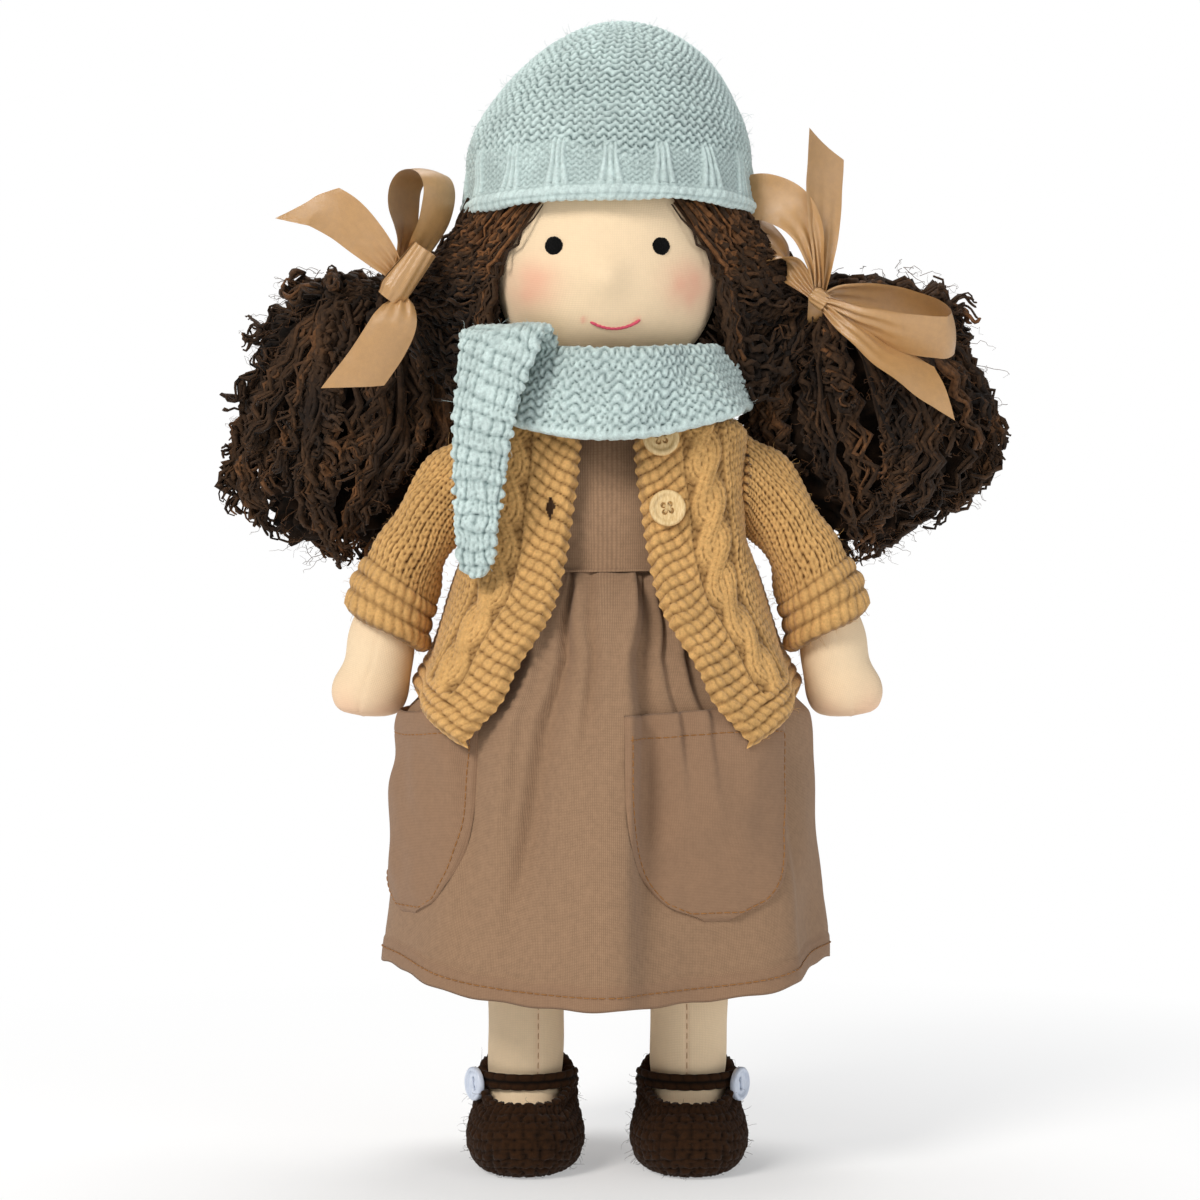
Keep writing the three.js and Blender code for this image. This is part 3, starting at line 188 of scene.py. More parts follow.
def tubes_piece(name, paths, radii, body, material, sides=4, values=None):
    """Many thin tubes at once. paths is count x steps x 3; radii is count x steps. Each ring of a tube
    stands square to the path, and a face with as many corners as the tube has sides closes each end."""
    count, steps = paths.shape[:2]
    heading = unit(np.gradient(paths, axis=1))
    first = unit(np.cross(heading, [0.31, 0.87, 0.38]))
    second = np.cross(heading, first)
    angle = turns_of(sides)
    ring = np.cos(angle)[:, None] * first[:, :, None] + np.sin(angle)[:, None] * second[:, :, None]
    points = paths[:, :, None] + radii[:, :, None, None] * ring
    quads, _ = grid_faces(steps, sides, True)
    starts = (np.arange(count) * steps * sides)[:, None, None]
    walls = (quads[None] + starts).reshape(-1, 4)
    corner = np.arange(sides)
    caps = [corner[::-1][None] + starts[:, 0], (steps - 1) * sides + corner[None] + starts[:, 0]]
    values = {key: np.repeat(value.ravel(), sides) for key, value in (values or {}).items()}
    return new_piece(name, points.reshape(-1, 3), [walls, *caps], body, material, None, values)


print("a closed grid of 3 x 4 points has", len(grid_faces(3, 4, True)[0]), "cells")

# %% [markdown]
# The doll's outlines are tables of places and shares, the same as the frame's, read on a smooth curve.
# Cross sections are squared ovals, and slow waves of several lengths keep soft surfaces from being perfect.


# %% Curves, ovals and waves
def along(table, place):
    """A smooth curve through pairs of place and value, flat beyond its ends."""
    at, value = np.array(table, float).T
    index = np.arange(len(at))
    before, after = np.maximum(index - 1, 0), np.minimum(index + 1, len(at) - 1)
    slope = (value[after] - value[before]) / (at[after] - at[before])
    place = np.clip(place, at[0], at[-1])
    i = np.clip(np.searchsorted(at, place, side="right") - 1, 0, len(at) - 2)
    width = at[i + 1] - at[i]
    t = (place - at[i]) / width
    ends = value[i] * (1 + 2 * t) * (1 - t) ** 2 + value[i + 1] * t * t * (3 - 2 * t)
    return ends + width * (slope[i] * t * (1 - t) ** 2 + slope[i + 1] * t * t * (t - 1))


def along_columns(at, table, place):
    """Each column of a table read on a smooth curve of its own, as a last axis."""
    return np.stack([along(np.stack([at, column], -1), place) for column in np.asarray(table, float).T], -1)


def mix(a, b, share):
    """a at share 0, b at share 1, and a straight line between them."""
    return a + (b - a) * share


def bell(x):
    """A bell curve, e to the power of minus x squared: 1 at 0 and nearly 0 beyond 2."""
    return np.exp(-(x**2))


def dome(x):
    """A half circle: the root of 1 less x squared, and 0 beyond 1."""
    return np.sqrt(np.clip(1 - x**2, 0, 1))


def smooth(low, high, value):
    """0 below low, 1 above high, and an even S curve between them."""
    t = np.clip((value - low) / (high - low), 0, 1)
    return t * t * (3 - 2 * t)


def rounded(value, power):
    """A power of a value's size that keeps its sign, to make an oval squarer."""
    return np.sign(value) * np.abs(value) ** power


def on_oval(angle, half_width, half_depth, squareness=2.0):
    """A point of a squared oval: angle 0 is its front, on -Y, and grows towards +X."""
    power = 2 / squareness
    return half_width * rounded(np.sin(angle), power), -half_depth * rounded(np.cos(angle), power)


def square_to(heading, across):
    """The part of a direction that stands square to a heading, as a unit vector."""
    return unit(across - heading * (across * heading).sum(-1, keepdims=True))


def waves(points, size, seed, count=14):
    """Soft noise from -1 to 1: the mean of sine waves of about one size in seeded directions."""
    draw = np.random.default_rng(seed)
    direction = unit(draw.normal(size=(count, 3)))
    length = size * draw.uniform(0.7, 1.4, count)
    phase = draw.uniform(0, FULL_TURN, count)
    total = np.zeros(points.shape[:-1])
    for step in range(count):
        total += np.sin(points @ direction[step] * (FULL_TURN / length[step]) + phase[step])
    return total * (2 / count) ** 0.5


def bezier(p0, p1, p2, p3, steps):
    """Cubic curves from p0 to p3, as count x steps x 3 points. With u as 1 - t, each point is
    u^3 p0 + 3 t u^2 p1 + 3 t^2 u p2 + t^3 p3."""
    t = np.linspace(0, 1, steps)[None, :, None]
    p0, p1, p2, p3 = (p[:, None] for p in (p0, p1, p2, p3))
    return (1 - t) ** 3 * p0 + 3 * t * (1 - t) ** 2 * p1 + 3 * t * t * (1 - t) * p2 + t**3 * p3


def profile(stations, count):
    """Evenly spaced points of a smooth curve through stations, with their distances from its start in mm."""
    place = run_of(np.array(stations, float))
    points = along_columns(place, stations, np.linspace(0, place[-1], count))
    return points, run_of(points)


print("bell and dome at a half:", bell(0.5).round(3), dome(0.5).round(3))

# %% [markdown]
# Yarn, jersey, woven cloth, satin and wood share a few node groups. Each group gives a colour that
# varies and a bumped normal, and takes the plain constants on its own sockets.


# %% Node tools
def tint(red, green, blue):
    """A colour of the photograph, 0 to 255, as the linear colour that a shader takes."""
    value = np.array([red, green, blue]) / 255
    value = np.where(value <= 0.04045, value / 12.92, ((value + 0.055) / 1.055) ** 2.4)
    return tuple(float(v) for v in value) + (1.0,)


def new_group(name, inputs):
    """A node group with these inputs that puts out a colour and a normal."""
    group = bpy.data.node_groups.new(name, "ShaderNodeTree")
    for label, kind, start in inputs:
        group.interface.new_socket(label, in_out="INPUT", socket_type=kind).default_value = start
    group.interface.new_socket("Color", in_out="OUTPUT", socket_type="NodeSocketColor")
    group.interface.new_socket("Normal", in_out="OUTPUT", socket_type="NodeSocketVector")
    return group, group.nodes.new("NodeGroupInput").outputs, group.nodes.new("NodeGroupOutput").inputs


def add_node(tree, kind, settings=(), inputs=()):
    """A node of a kind, with its settings by name and its inputs by name or number: a value or a socket."""
    node = tree.nodes.new(kind)
    for key, value in dict(settings).items():
        setattr(node, key, value)
    for key, value in dict(inputs).items():
        if isinstance(value, bpy.types.NodeSocket):
            tree.links.new(value, node.inputs[key])
        else:
            node.inputs[key].default_value = value
    return node


def blended(tree, kind, factor, first, second):
    """The result of mixing two colours."""
    settings = {"data_type": "RGBA", "blend_type": kind}
    return add_node(tree, "ShaderNodeMix", settings, {0: factor, 6: first, 7: second}).outputs[2]


def noise(tree, vector, scale, detail=2.0, roughness=0.5):
    """Soft noise, 0 to 1, of so many specks to the metre."""
    made = {"Vector": vector, "Scale": scale, "Detail": detail, "Roughness": roughness}
    return add_node(tree, "ShaderNodeTexNoise", {}, made).outputs["Fac"]


def spread(tree, value, low, high, out_low, out_high):
    """A value carried from one range to another, and held inside it."""
    made = {0: value, 1: low, 2: high, 3: out_low, 4: out_high}
    return add_node(tree, "ShaderNodeMapRange", {}, made).outputs[0]


def bumped(tree, height, strength, distance):
    """The surface's normal, tilted by a height."""
    made = {"Height": height, "Strength": strength, "Distance": distance}
    return add_node(tree, "ShaderNodeBump", {}, made).outputs["Normal"]


def summed(tree, operation, first, second):
    """Two values added, subtracted or multiplied."""
    return add_node(tree, "ShaderNodeMath", {"operation": operation}, {0: first, 1: second}).outputs[0]


def value_of(tree, attribute):
    """A value that the mesh carries at its points."""
    return add_node(tree, "ShaderNodeAttribute", {"attribute_name": attribute}).outputs["Fac"]


def place_in(tree):
    """A point's place on its own object."""
    return add_node(tree, "ShaderNodeTexCoord").outputs["Object"]


print("a mid grey as the shader takes it:", round(tint(128, 128, 128)[0], 4))

# %% [markdown]
# Yarn has painted shade between its raised stitches and is speckled by its fibres. Cloth shows warp and weft, with
# slubs.
# Wood has a stretched grain.

# %% Shared groups
COLOR, FLOAT = "NodeSocketColor", "NodeSocketFloat"

yarn_group, given, result = new_group(
    "yarn", [("Yarn", COLOR, (1, 1, 1, 1)), ("Groove_Shade", COLOR, (0, 0, 0, 1)), ("Fibre", FLOAT, 900.0)]
)
place, shade_relief = place_in(yarn_group), value_of(yarn_group, "shade_relief")
fibre = noise(yarn_group, place, given["Fibre"], 4.0, 0.7)
mottle = noise(yarn_group, place, 90.0, 2.0)
# Painted shade: the groove colour fills the recesses between stitches, where the mesh's relief value is low.
tone = blended(yarn_group, "MIX", spread(yarn_group, shade_relief, 0.0, 0.85, 0.0, 1.0), given["Groove_Shade"], given["Yarn"])
for speckles, least, most in ((mottle, 0.9, 1.08), (fibre, 0.8, 1.2)):
    tone = blended(yarn_group, "MULTIPLY", 1.0, tone, spread(yarn_group, speckles, 0.3, 0.7, least, most))
yarn_group.links.new(tone, result["Color"])
yarn_group.links.new(bumped(yarn_group, fibre, 0.7, 0.0006), result["Normal"])

cloth_group, given, result = new_group(
    "cloth", [("Thread", COLOR, (1, 1, 1, 1)), ("Weave", FLOAT, 1.0), ("Contrast", FLOAT, 0.1)]
)
cloth_map = add_node(cloth_group, "ShaderNodeUVMap", {"uv_map": "cloth"}).outputs[0]
threads = {"Vector": cloth_map, "Scale": given["Weave"], "Distortion": 1.5, "Detail": 2.0, "Detail Scale": 0.6}
warp, weft = (
    add_node(cloth_group, "ShaderNodeTexWave", {"bands_direction": way}, threads).outputs["Fac"] for way in "XY"
)
weave = summed(cloth_group, "MULTIPLY", warp, weft)
shade = summed(cloth_group, "ADD", weave, noise(cloth_group, place_in(cloth_group), 420.0, 3.0, 0.7))
dark, light = (summed(cloth_group, way, 1.0, given["Contrast"]) for way in ("SUBTRACT", "ADD"))
shade = spread(cloth_group, shade, 0.4, 1.3, dark, light)
cloth_group.links.new(blended(cloth_group, "MULTIPLY", 1.0, given["Thread"], shade), result["Color"])
cloth_group.links.new(bumped(cloth_group, weave, 0.25, 0.0003), result["Normal"])

wood_group, given, result = new_group("grain", [("Light", COLOR, (1, 1, 1, 1)), ("Dark", COLOR, (0, 0, 0, 1))])
stretched = add_node(wood_group, "ShaderNodeMapping", {}, {"Vector": place_in(wood_group), "Scale": (4.0, 1.0, 1.0)})
grain = noise(wood_group, stretched.outputs[0], 420.0, 3.0, 0.6)
tone = blended(wood_group, "MIX", spread(wood_group, grain, 0.35, 0.7, 0.0, 1.0), given["Light"], given["Dark"])
wood_group.links.new(tone, result["Color"])
wood_group.links.new(bumped(wood_group, grain, 0.15, 0.0002), result["Normal"])
print([group.name for group in bpy.data.node_groups])

# %% [markdown]
# Each material is one group with colours of its own. A value of the mesh adds blush to the jersey, a darker tone
# to the dress's hem band and painted shade to its pockets, and light and dark to the hair, with painted shade on the
# deeper locks of the bunches.


# %% Materials
def new_material(name, group=None, given=(), **constants):
    """A material whose colour and normal come from a group, and whose constants lie on the shader itself."""
    material = bpy.data.materials.new(name)
    material.use_nodes = True
    tree = material.node_tree
    shader = tree.nodes["Principled BSDF"]
    if group:
        made = add_node(tree, "ShaderNodeGroup", {"node_tree": group}, given)
        tree.links.new(made.outputs["Color"], shader.inputs["Base Color"])
        tree.links.new(made.outputs["Normal"], shader.inputs["Normal"])
    for key, value in constants.items():
        shader.inputs[key.replace("_", " ")].default_value = value
    return material


def yarn_material(name, yarn, groove, fibre=900.0, sheen=0.25):
    """Rough yarn in two colours of the photograph: on its stitches, and as painted shade between them."""
    return new_material(
        name, yarn_group, {"Yarn": tint(*yarn), "Groove_Shade": tint(*groove), "Fibre": fibre},
        Roughness=0.95, Specular_IOR_Level=0.15, Sheen_Weight=sheen, Sheen_Roughness=0.4,
    )


def cloth_material(name, thread, weave, contrast, **constants):
    """Woven cloth in one colour of the photograph."""
    given = {"Thread": tint(*thread), "Weave": weave, "Contrast": contrast}
    return new_material(name, cloth_group, given, **{"Roughness": 0.92, "Specular_IOR_Level": 0.2, **constants})


# The second colour of each yarn is the painted shade in the grooves between its stitches.
pale_yarn = yarn_material("pale yarn", (200, 217, 214), (84, 106, 106))
mustard_yarn = yarn_material("mustard yarn", (212, 166, 104), (88, 54, 22))
shoe_yarn = yarn_material("shoe yarn", (50, 29, 12), (7, 4, 2), 700.0, 0.06)
hair_base = yarn_material("hair under the locks", (40, 27, 17), (12, 8, 5), 500.0, 0.0)
gold_thread = yarn_material("gold thread", (198, 144, 88), (160, 110, 60), 1500.0)
white_thread = yarn_material("white thread", (236, 228, 208), (190, 180, 160), 1500.0)
pink_thread = yarn_material("pink thread", (236, 120, 138), (206, 84, 104), 1500.0)
black_thread = yarn_material("black thread", (22, 19, 20), (4, 4, 4), 1500.0, 0.1)
dress_cloth = cloth_material("dress cloth", (153, 122, 95), 0.62, 0.22, Sheen_Weight=0.1)
satin = cloth_material(
    "satin", (186, 141, 86), 0.9, 0.16, Roughness=0.3, Specular_IOR_Level=1.0, Sheen_Weight=0.1, Anisotropic=0.7,
)
elastic = yarn_material("hair elastic", (62, 44, 32), (26, 18, 12), 900.0)

jersey = cloth_material("skin jersey", (238, 212, 176), 0.52, 0.05, Sheen_Weight=0.1)


def also_tinted(material, attribute, color):
    """A value of the mesh, such as its blush, mixes another colour into a material."""
    tree = material.node_tree
    base = tree.nodes["Principled BSDF"].inputs["Base Color"]
    mixed = blended(tree, "MIX", value_of(tree, attribute), base.links[0].from_socket, tint(*color))
    tree.links.new(mixed, base)


also_tinted(jersey, "blush", (236, 150, 128))
# The tint makes the hem band darker; on the pockets it is painted shade.
also_tinted(dress_cloth, "hem_tone_and_pocket_shade", (139, 107, 84))

hair_material = new_material("hair locks", Roughness=0.8, Specular_IOR_Level=0.2, Sheen_Weight=0.05)
tree = hair_material.node_tree
shader = tree.nodes["Principled BSDF"]
ramp = add_node(tree, "ShaderNodeValToRGB", {}, {0: value_of(tree, "tone")})
ramp.color_ramp.elements[0].color = tint(24, 16, 10)
ramp.color_ramp.elements[1].color = tint(128, 84, 48)
ramp.color_ramp.elements.new(0.5).color = tint(64, 44, 27)
speckle = noise(tree, place_in(tree), 650.0, 2.0)
tone = blended(tree, "MULTIPLY", 1.0, ramp.outputs["Color"], spread(tree, speckle, 0.3, 0.7, 0.6, 1.4))
tree.links.new(tone, shader.inputs["Base Color"])
tree.links.new(bumped(tree, speckle, 0.6, 0.0005), shader.inputs["Normal"])

wood, pearl = (
    new_material(name, wood_group, {"Light": tint(*light), "Dark": tint(*dark)}, Roughness=roughness)
    for name, light, dark, roughness in (
        ("button wood", (232, 204, 152), (206, 170, 114), 0.5), ("shoe button", (214, 222, 236), (196, 206, 224), 0.28),
    )
)
print(len(bpy.data.materials), "materials")

# %% [markdown]
# The photograph has a white background, broad soft light from in front and above, and a faint shadow
# under the shoes. The floor is white, and glows more with distance from the doll until it can't be told from
# the plain white world that the camera sees.

# %% Light and floor
stage_white = new_material("stage white", Roughness=0.9, Specular_IOR_Level=0.0)
tree = stage_white.node_tree
shader = tree.nodes["Principled BSDF"]
shader.inputs["Base Color"].default_value = (0.97, 0.97, 0.97, 1)
far = add_node(tree, "ShaderNodeVectorMath", {"operation": "LENGTH"}, {0: place_in(tree)}).outputs["Value"]
glow = add_node(tree, "ShaderNodeEmission").outputs[0]
share = spread(tree, far, 0.12, 0.5, 0.35, 1.0)
both = add_node(tree, "ShaderNodeMixShader", {}, {0: share, 1: shader.outputs[0], 2: glow})
tree.links.new(both.outputs[0], tree.nodes["Material Output"].inputs["Surface"])
floor_mesh = bpy.data.meshes.new("floor")
floor_mesh.from_pydata([(-6, -4, 0), (6, -4, 0), (6, 6, 0), (-6, 6, 0)], [], [(0, 1, 2, 3)])
floor_mesh.materials.append(stage_white)
floor = bpy.data.objects.new("floor", floor_mesh)
bpy.context.collection.objects.link(floor)

world = bpy.data.worlds.new("world")
bpy.context.scene.world = world
world.use_nodes = True
tree = world.node_tree
seen = add_node(tree, "ShaderNodeLightPath").outputs["Is Camera Ray"]
plain_light = add_node(tree, "ShaderNodeBackground", {}, {"Color": (0.96, 0.98, 1.0, 1), "Strength": 0.33})
white = add_node(tree, "ShaderNodeBackground", {}, {"Color": (1.0, 1.0, 1.0, 1), "Strength": 1.0})
both = add_node(tree, "ShaderNodeMixShader", {}, {0: seen, 1: plain_light.outputs[0], 2: white.outputs[0]})
tree.links.new(both.outputs[0], tree.nodes["World Output"].inputs["Surface"])
bpy.context.scene.view_settings.view_transform = "Standard"


def area_light(name, place, aim, size, power, color=(1, 1, 1)):
    """A round lamp turned to a point, by the angles of the line between them."""
    data = bpy.data.lights.new(name, "AREA")
    data.shape, data.size, data.energy, data.color = "DISK", size, power, color
    lamp = bpy.data.objects.new(name, data)
    lamp.location = place
    heading = np.array(aim, float) - np.array(place, float)
    tilt = np.arccos(-heading[2] / np.linalg.norm(heading))
    lamp.rotation_euler = (tilt, 0, np.arctan2(heading[1], heading[0]) - np.pi / 2)
    bpy.context.collection.objects.link(lamp)


area_light("key", (-1.05, -1.4, 1.35), (0, 0, 0.2), 0.75, 27.5, (1.0, 0.97, 0.93))
area_light("fill", (1.3, -1.3, 0.6), (0, 0, 0.2), 1.2, 6, (0.95, 0.98, 1.0))
area_light("top", (0.1, 0.5, 1.7), (0, 0, 0.25), 1.0, 13)
print("camera", [round(v, 4) for v in camera.location])

# %% [markdown]
# Knitting is drawn by two numbers: how many stitches across and how many rows up a point lies. Smooth
# stitches are pairs of leaning legs that reach into the next row, purl is two waving lines to each row, and
# ridges are rows of short leaning bumps. Stray fibres stand out of all three.


# %% Stitches
def knit(across, up):
    """The height, 0 to 1, of smooth knitting: each stitch is a V of two leaning legs."""
    column = across - np.floor(across)
    height = np.zeros(np.broadcast(across, up).shape)
    for row in (0, 1):
        t = (up - np.floor(up) - row + 0.4) / 1.4
        inside = (t > 0) & (t < 1)
        t = np.clip(t, 1e-3, 1 - 1e-3)
        width = 0.25 * np.sin(np.pi * t) ** 0.35
        for lean in (-1, 1):
            off = (column - 0.5 - lean * (0.11 + 0.21 * t)) / width
            leg = dome(off) * np.sin(np.pi * t) ** 0.4
            height = np.maximum(height, np.where(inside, leg, 0))
    return height


def purl(across, up, thick=0.44, swing=0.3):
    """The height, 0 to 1, of purl knitting: two lines of yarn to each row, waving once for each stitch, that
    come nearest to the eye at the tops and bottoms of their waves."""
    turn = FULL_TURN * across
    line = 2 * up - swing * np.sin(turn)
    off = (line - np.round(line)) / thick
    return dome(off) * (0.7 + 0.3 * np.sin(turn) ** 2)


def roped(across, up, lean=0.5):
    """The height, 0 to 1, of ridged knitting: one ridge to each unit, made of short leaning bumps."""
    off = up - np.round(up)
    ridge = dome(off / 0.5) ** 0.8
    bump = np.abs(np.sin(np.pi * (across + lean * off + 0.5 * np.round(up)))) ** 0.6
    return ridge * (0.5 + 0.5 * bump)


MID_HEIGHT = 0.55


def raised(points, normals, height, depth):
    """Points pushed out by a height, so that the tops of the stitches lie a little outside the surface."""
    return points + normals * ((height - MID_HEIGHT) * depth)[..., None]


EVERY = 1
FLOOR_GAP = 0.1


def fuzz(name, points, normals, count, body, material, seed, size=1.9):
    """A haze of short bent fibres that stand out of knitting, spread over a grid by the area of its cells.
    None goes through the floor."""
    draw = np.random.default_rng(seed)
    area = np.linalg.norm(np.cross(*np.gradient(points, axis=(0, 1))), axis=-1).ravel()
    at = draw.choice(area.size, count // EVERY, p=area / area.sum())
    root, out = points.reshape(-1, 3)[at], normals.reshape(-1, 3)[at]
    lean, bend = draw.normal(0, 0.6, (2, len(at), 3))
    tip = root + (out + lean) * size * draw.uniform(0.5, 1.3, (len(at), 1))
    paths = bezier(root - 0.4 * out, root + 0.6 * size * out + bend, tip + bend, tip, 6)
    paths[..., 2] = np.maximum(paths[..., 2], FLOOR_GAP)
    fine = np.full((len(at), 6), 0.06) * np.linspace(1.2, 0.5, 6)[None]
    return tubes_piece(name, paths, fine, body, material, 3, {"shade_relief": np.full((len(at), 6), 0.8)})


print("stitch heights:", knit(np.array([0.3, 0.7]), np.array([0.5, 0.5])).round(2), purl(0.25, 0.15))

# %% [markdown]
# The hat is a purl cap with a soft tip and one dent. Its brim repeats seventeen times: a few ribs that
# spread towards the rim, and a sunk panel of fine purl. The rim rolls in under itself.

# %% Hat
HAT_MIDDLE, HAT_DEPTH = 2.0, 0.9
CROWN_STITCH, CROWN_ROW, BRIM_LENGTH, BRIM_REPEATS = 3.7, 5.6, 20, 17
PANEL_STITCHES, PANEL_ROW, RIM_STITCHES, RIM_ROW = 116, 3.8, 96, 3.3
crown_line, crown_place = profile(
    [
        (49.2, 343, 1), (49.4, 349, 1), (48.8, 355, 1.2), (45.9, 364, 2), (41.2, 372.5, 3), (36, 380, 4),
        (30, 386.5, 4.7), (23, 392, 5), (15.5, 396.2, 5.2), (8, 398.6, 5), (0.15, 399.8, 5),
    ],
    148 // EVERY,
)
angle = turns_of(428 // EVERY)[None]
radius, level, middle = (crown_line[:, i][:, None] for i in range(3))
points = together(middle + radius * np.sin(angle), -HAT_DEPTH * radius * np.cos(angle) + HAT_MIDDLE, level)
soft = waves(points, 55, 1)
points[..., 1] -= HAT_MIDDLE
points[..., :2] *= (1 + 0.012 * soft)[..., None]
dent = np.exp(-(((points[..., 2] - 367) / 7) ** 2) - ((points[..., 0] + 4) / 24) ** 2) * (points[..., 1] < 0)
points[..., 1] += 3.0 * dent + HAT_MIDDLE
row = crown_place[:, None] / CROWN_ROW
row_radius = np.interp((np.floor(row) + 0.5) * CROWN_ROW, crown_place, crown_line[:, 0])
stitches = np.maximum(np.round(FULL_TURN * 0.95 * row_radius / CROWN_STITCH), 3)
wander = 0.12 * waves(points, 9, 2)
height = purl(angle / FULL_TURN * stitches + wander, row + 0.25 * wander)
normals = outward(points, True)
crown = grid_piece(
    "hat_crown", raised(points, normals, height, 1.6), "hat", pale_yarn, closed=True,
    values={"shade_relief": height}, ends=(-1,),
)
below_tip = slice(0, int(0.96 * len(points)))
fuzz("hat_fuzz", points[below_tip], normals[below_tip], 520, "hat", pale_yarn, 4)

brim_line, brim_place = profile(
    [
        (46.5, 352.5, 1), (48.6, 351.6, 1), (50.1, 348, 1), (50.8, 343, 1), (51.4, 338.5, 1), (52.0, 335.5, 1),
        (52.3, 333.6, 1), (51.6, 332.2, 1), (50.2, 332.0, 1), (49.3, 333.6, 1), (49.0, 337, 1),
    ],
    72 // EVERY,
)
angle = turns_of(612 // EVERY)[None]
radius, level, middle = (brim_line[:, i][:, None] for i in range(3))
place = brim_place[:, None]
down = place / BRIM_LENGTH
repeat = angle / FULL_TURN * BRIM_REPEATS + 0.5 + 0.03 * np.sin(3 * angle)
off = repeat - np.floor(repeat) - 0.5
half = 0.15 + 0.11 * smooth(0.35, 0.95, down)
ribs = smooth(1.12, 0.94, np.abs(off) / half)
rib = 0.35 + 0.65 * np.abs(np.cos(off / half * 1.5 * np.pi)) ** 0.7
fine = purl(angle / FULL_TURN * PANEL_STITCHES, place / PANEL_ROW)
edge = smooth(0.84, 0.95, down)
rim = 0.3 + 0.75 * roped(angle / FULL_TURN * RIM_STITCHES, place / RIM_ROW)
height = mix(mix(0.1 + 0.42 * fine, rib, ribs), rim, edge)
shade = mix(mix(0.38 + 0.4 * fine, 0.2 + 0.65 * rib, ribs), rim, edge)
wave = 0.35 * np.sin(angle * BRIM_REPEATS + 0.8) * down
points = together(
    middle + (radius + wave) * np.sin(angle), HAT_MIDDLE - (HAT_DEPTH * radius + wave) * np.cos(angle),
    level - 0.9 * ribs * smooth(0.5, 1, down) * (place < 17) + 0.5 * np.sin(2 * angle + 1) * down,
)
points += outward(points, True) * (0.5 * waves(points, 26, 3))[..., None]
brim = grid_piece(
    "hat_brim", raised(points, outward(points, True), height, 1.7), "hat", pale_yarn, closed=True,
    values={"shade_relief": shade},
)
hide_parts("hat")
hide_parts("hat")
print("hat:", len(crown.data.polygons) + len(brim.data.polygons), "faces")

# %% [markdown]
# The head is a firm ball in cream jersey, with a small nose, a shallow line at the level of the eyes and
# blushed cheeks. Eyes and mouth are embroidered: threads laid side by side, each one a thin tube.

# %% Head and face
HEAD_BASE, HEAD_HEIGHT, HEAD_WIDE, HEAD_DEEP = 275, 103, 40, 39.5
NOSE_HEIGHT, EYE_LINE, CHEEK_HEIGHT, CHEEKS = 306, 320, 304.5, (-25.6, 28.4)
EYE_SIDE, EYE_HEIGHT = 18.2, 317
MOUTH_MIDDLE, MOUTH_HALF, MOUTH_HEIGHT, MOUTH_CORNERS = 2.2, 8.0, 289.1, ((-8.1, 292.1), (10.3, 291.9))
HEAD_SHARES = [
    (0, 0.36), (0.04, 0.54), (0.09, 0.705), (0.15, 0.83), (0.22, 0.92), (0.3, 0.98), (0.38, 1),
    (0.5, 0.985), (0.62, 0.93), (0.73, 0.84), (0.82, 0.72), (0.9, 0.56), (0.96, 0.36), (1, 0.01),
]


def on_head(x, z):
    """The depth of the face at a place, with its nose and the line of its eyes."""
    share = along(HEAD_SHARES, (z - HEAD_BASE) / HEAD_HEIGHT)
    depth = HEAD_DEEP * share * dome(x / (HEAD_WIDE * share))
    depth += 4.0 * np.exp(-(x**2 + (z - NOSE_HEIGHT) ** 2) / 44)
    return -(depth - 0.9 * bell((z - EYE_LINE) / 6) * np.exp(-((x / 30) ** 4)))


angle = turns_of(180 // EVERY)[None]
level = HEAD_BASE + HEAD_HEIGHT * (1 - np.cos(np.linspace(0.02, 1, 110 // EVERY) * np.pi))[:, None] / 2
share = along(HEAD_SHARES, (level - HEAD_BASE) / HEAD_HEIGHT)
x = HEAD_WIDE * share * np.sin(angle)
y = np.where(np.cos(angle) > 0, on_head(x, level), -HEAD_DEEP * share * np.cos(angle))
points = together(x, y, level)
points += outward(points, True) * (0.22 * waves(points, 22, 4))[..., None]
cheek = sum(np.exp(-(((x - cx) / 8.6) ** 2 + ((level - CHEEK_HEIGHT) / 7.8) ** 2) ** 1.15) for cx in CHEEKS)
marks = sum(np.exp(-((x - mx) ** 2 + (level - mz) ** 2) / 0.8) for mx, mz in MOUTH_CORNERS)
blushed = np.where(np.cos(angle) > 0, 0.44 * cheek * (1 + 0.15 * waves(points, 9, 5)) + 0.75 * marks, 0)
head = grid_piece(
    "head_skin", points, "head", jersey, closed=True, uv=wrapped_uv(angle, HEAD_WIDE, level),
    values={"blush": np.clip(blushed, 0, 1)}, ends=(0, -1),
)
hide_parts("head")

draw = np.random.default_rng(7)
stitch, run = np.linspace(-1, 1, 26)[:, None], np.linspace(-1, 1, 15)[None]
for name, side in SIDES.items():
    half = np.sqrt(np.clip(1 - stitch**2, 0.03, 1)) * (1 + draw.uniform(-0.03, 0.09, stitch.shape))
    tilt = 0.12 * side
    a = 2.75 * stitch + draw.uniform(-0.08, 0.08, stitch.shape)
    b = 2.95 * half * run
    x = side * EYE_SIDE + a + tilt * b
    z = EYE_HEIGHT + b - tilt * a
    lift = 0.55 * dome(np.hypot(a, b) / 3.3) - 0.5 * (np.abs(run) > 0.99)
    paths = np.stack([x, on_head(x, z) - lift, z], -1)
    thick = np.full(paths.shape[:2], 0.27)
    threads = tubes_piece(name + "_eye_stitches", paths, thick, "head", black_thread, 6)
    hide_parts(name + "_eye")

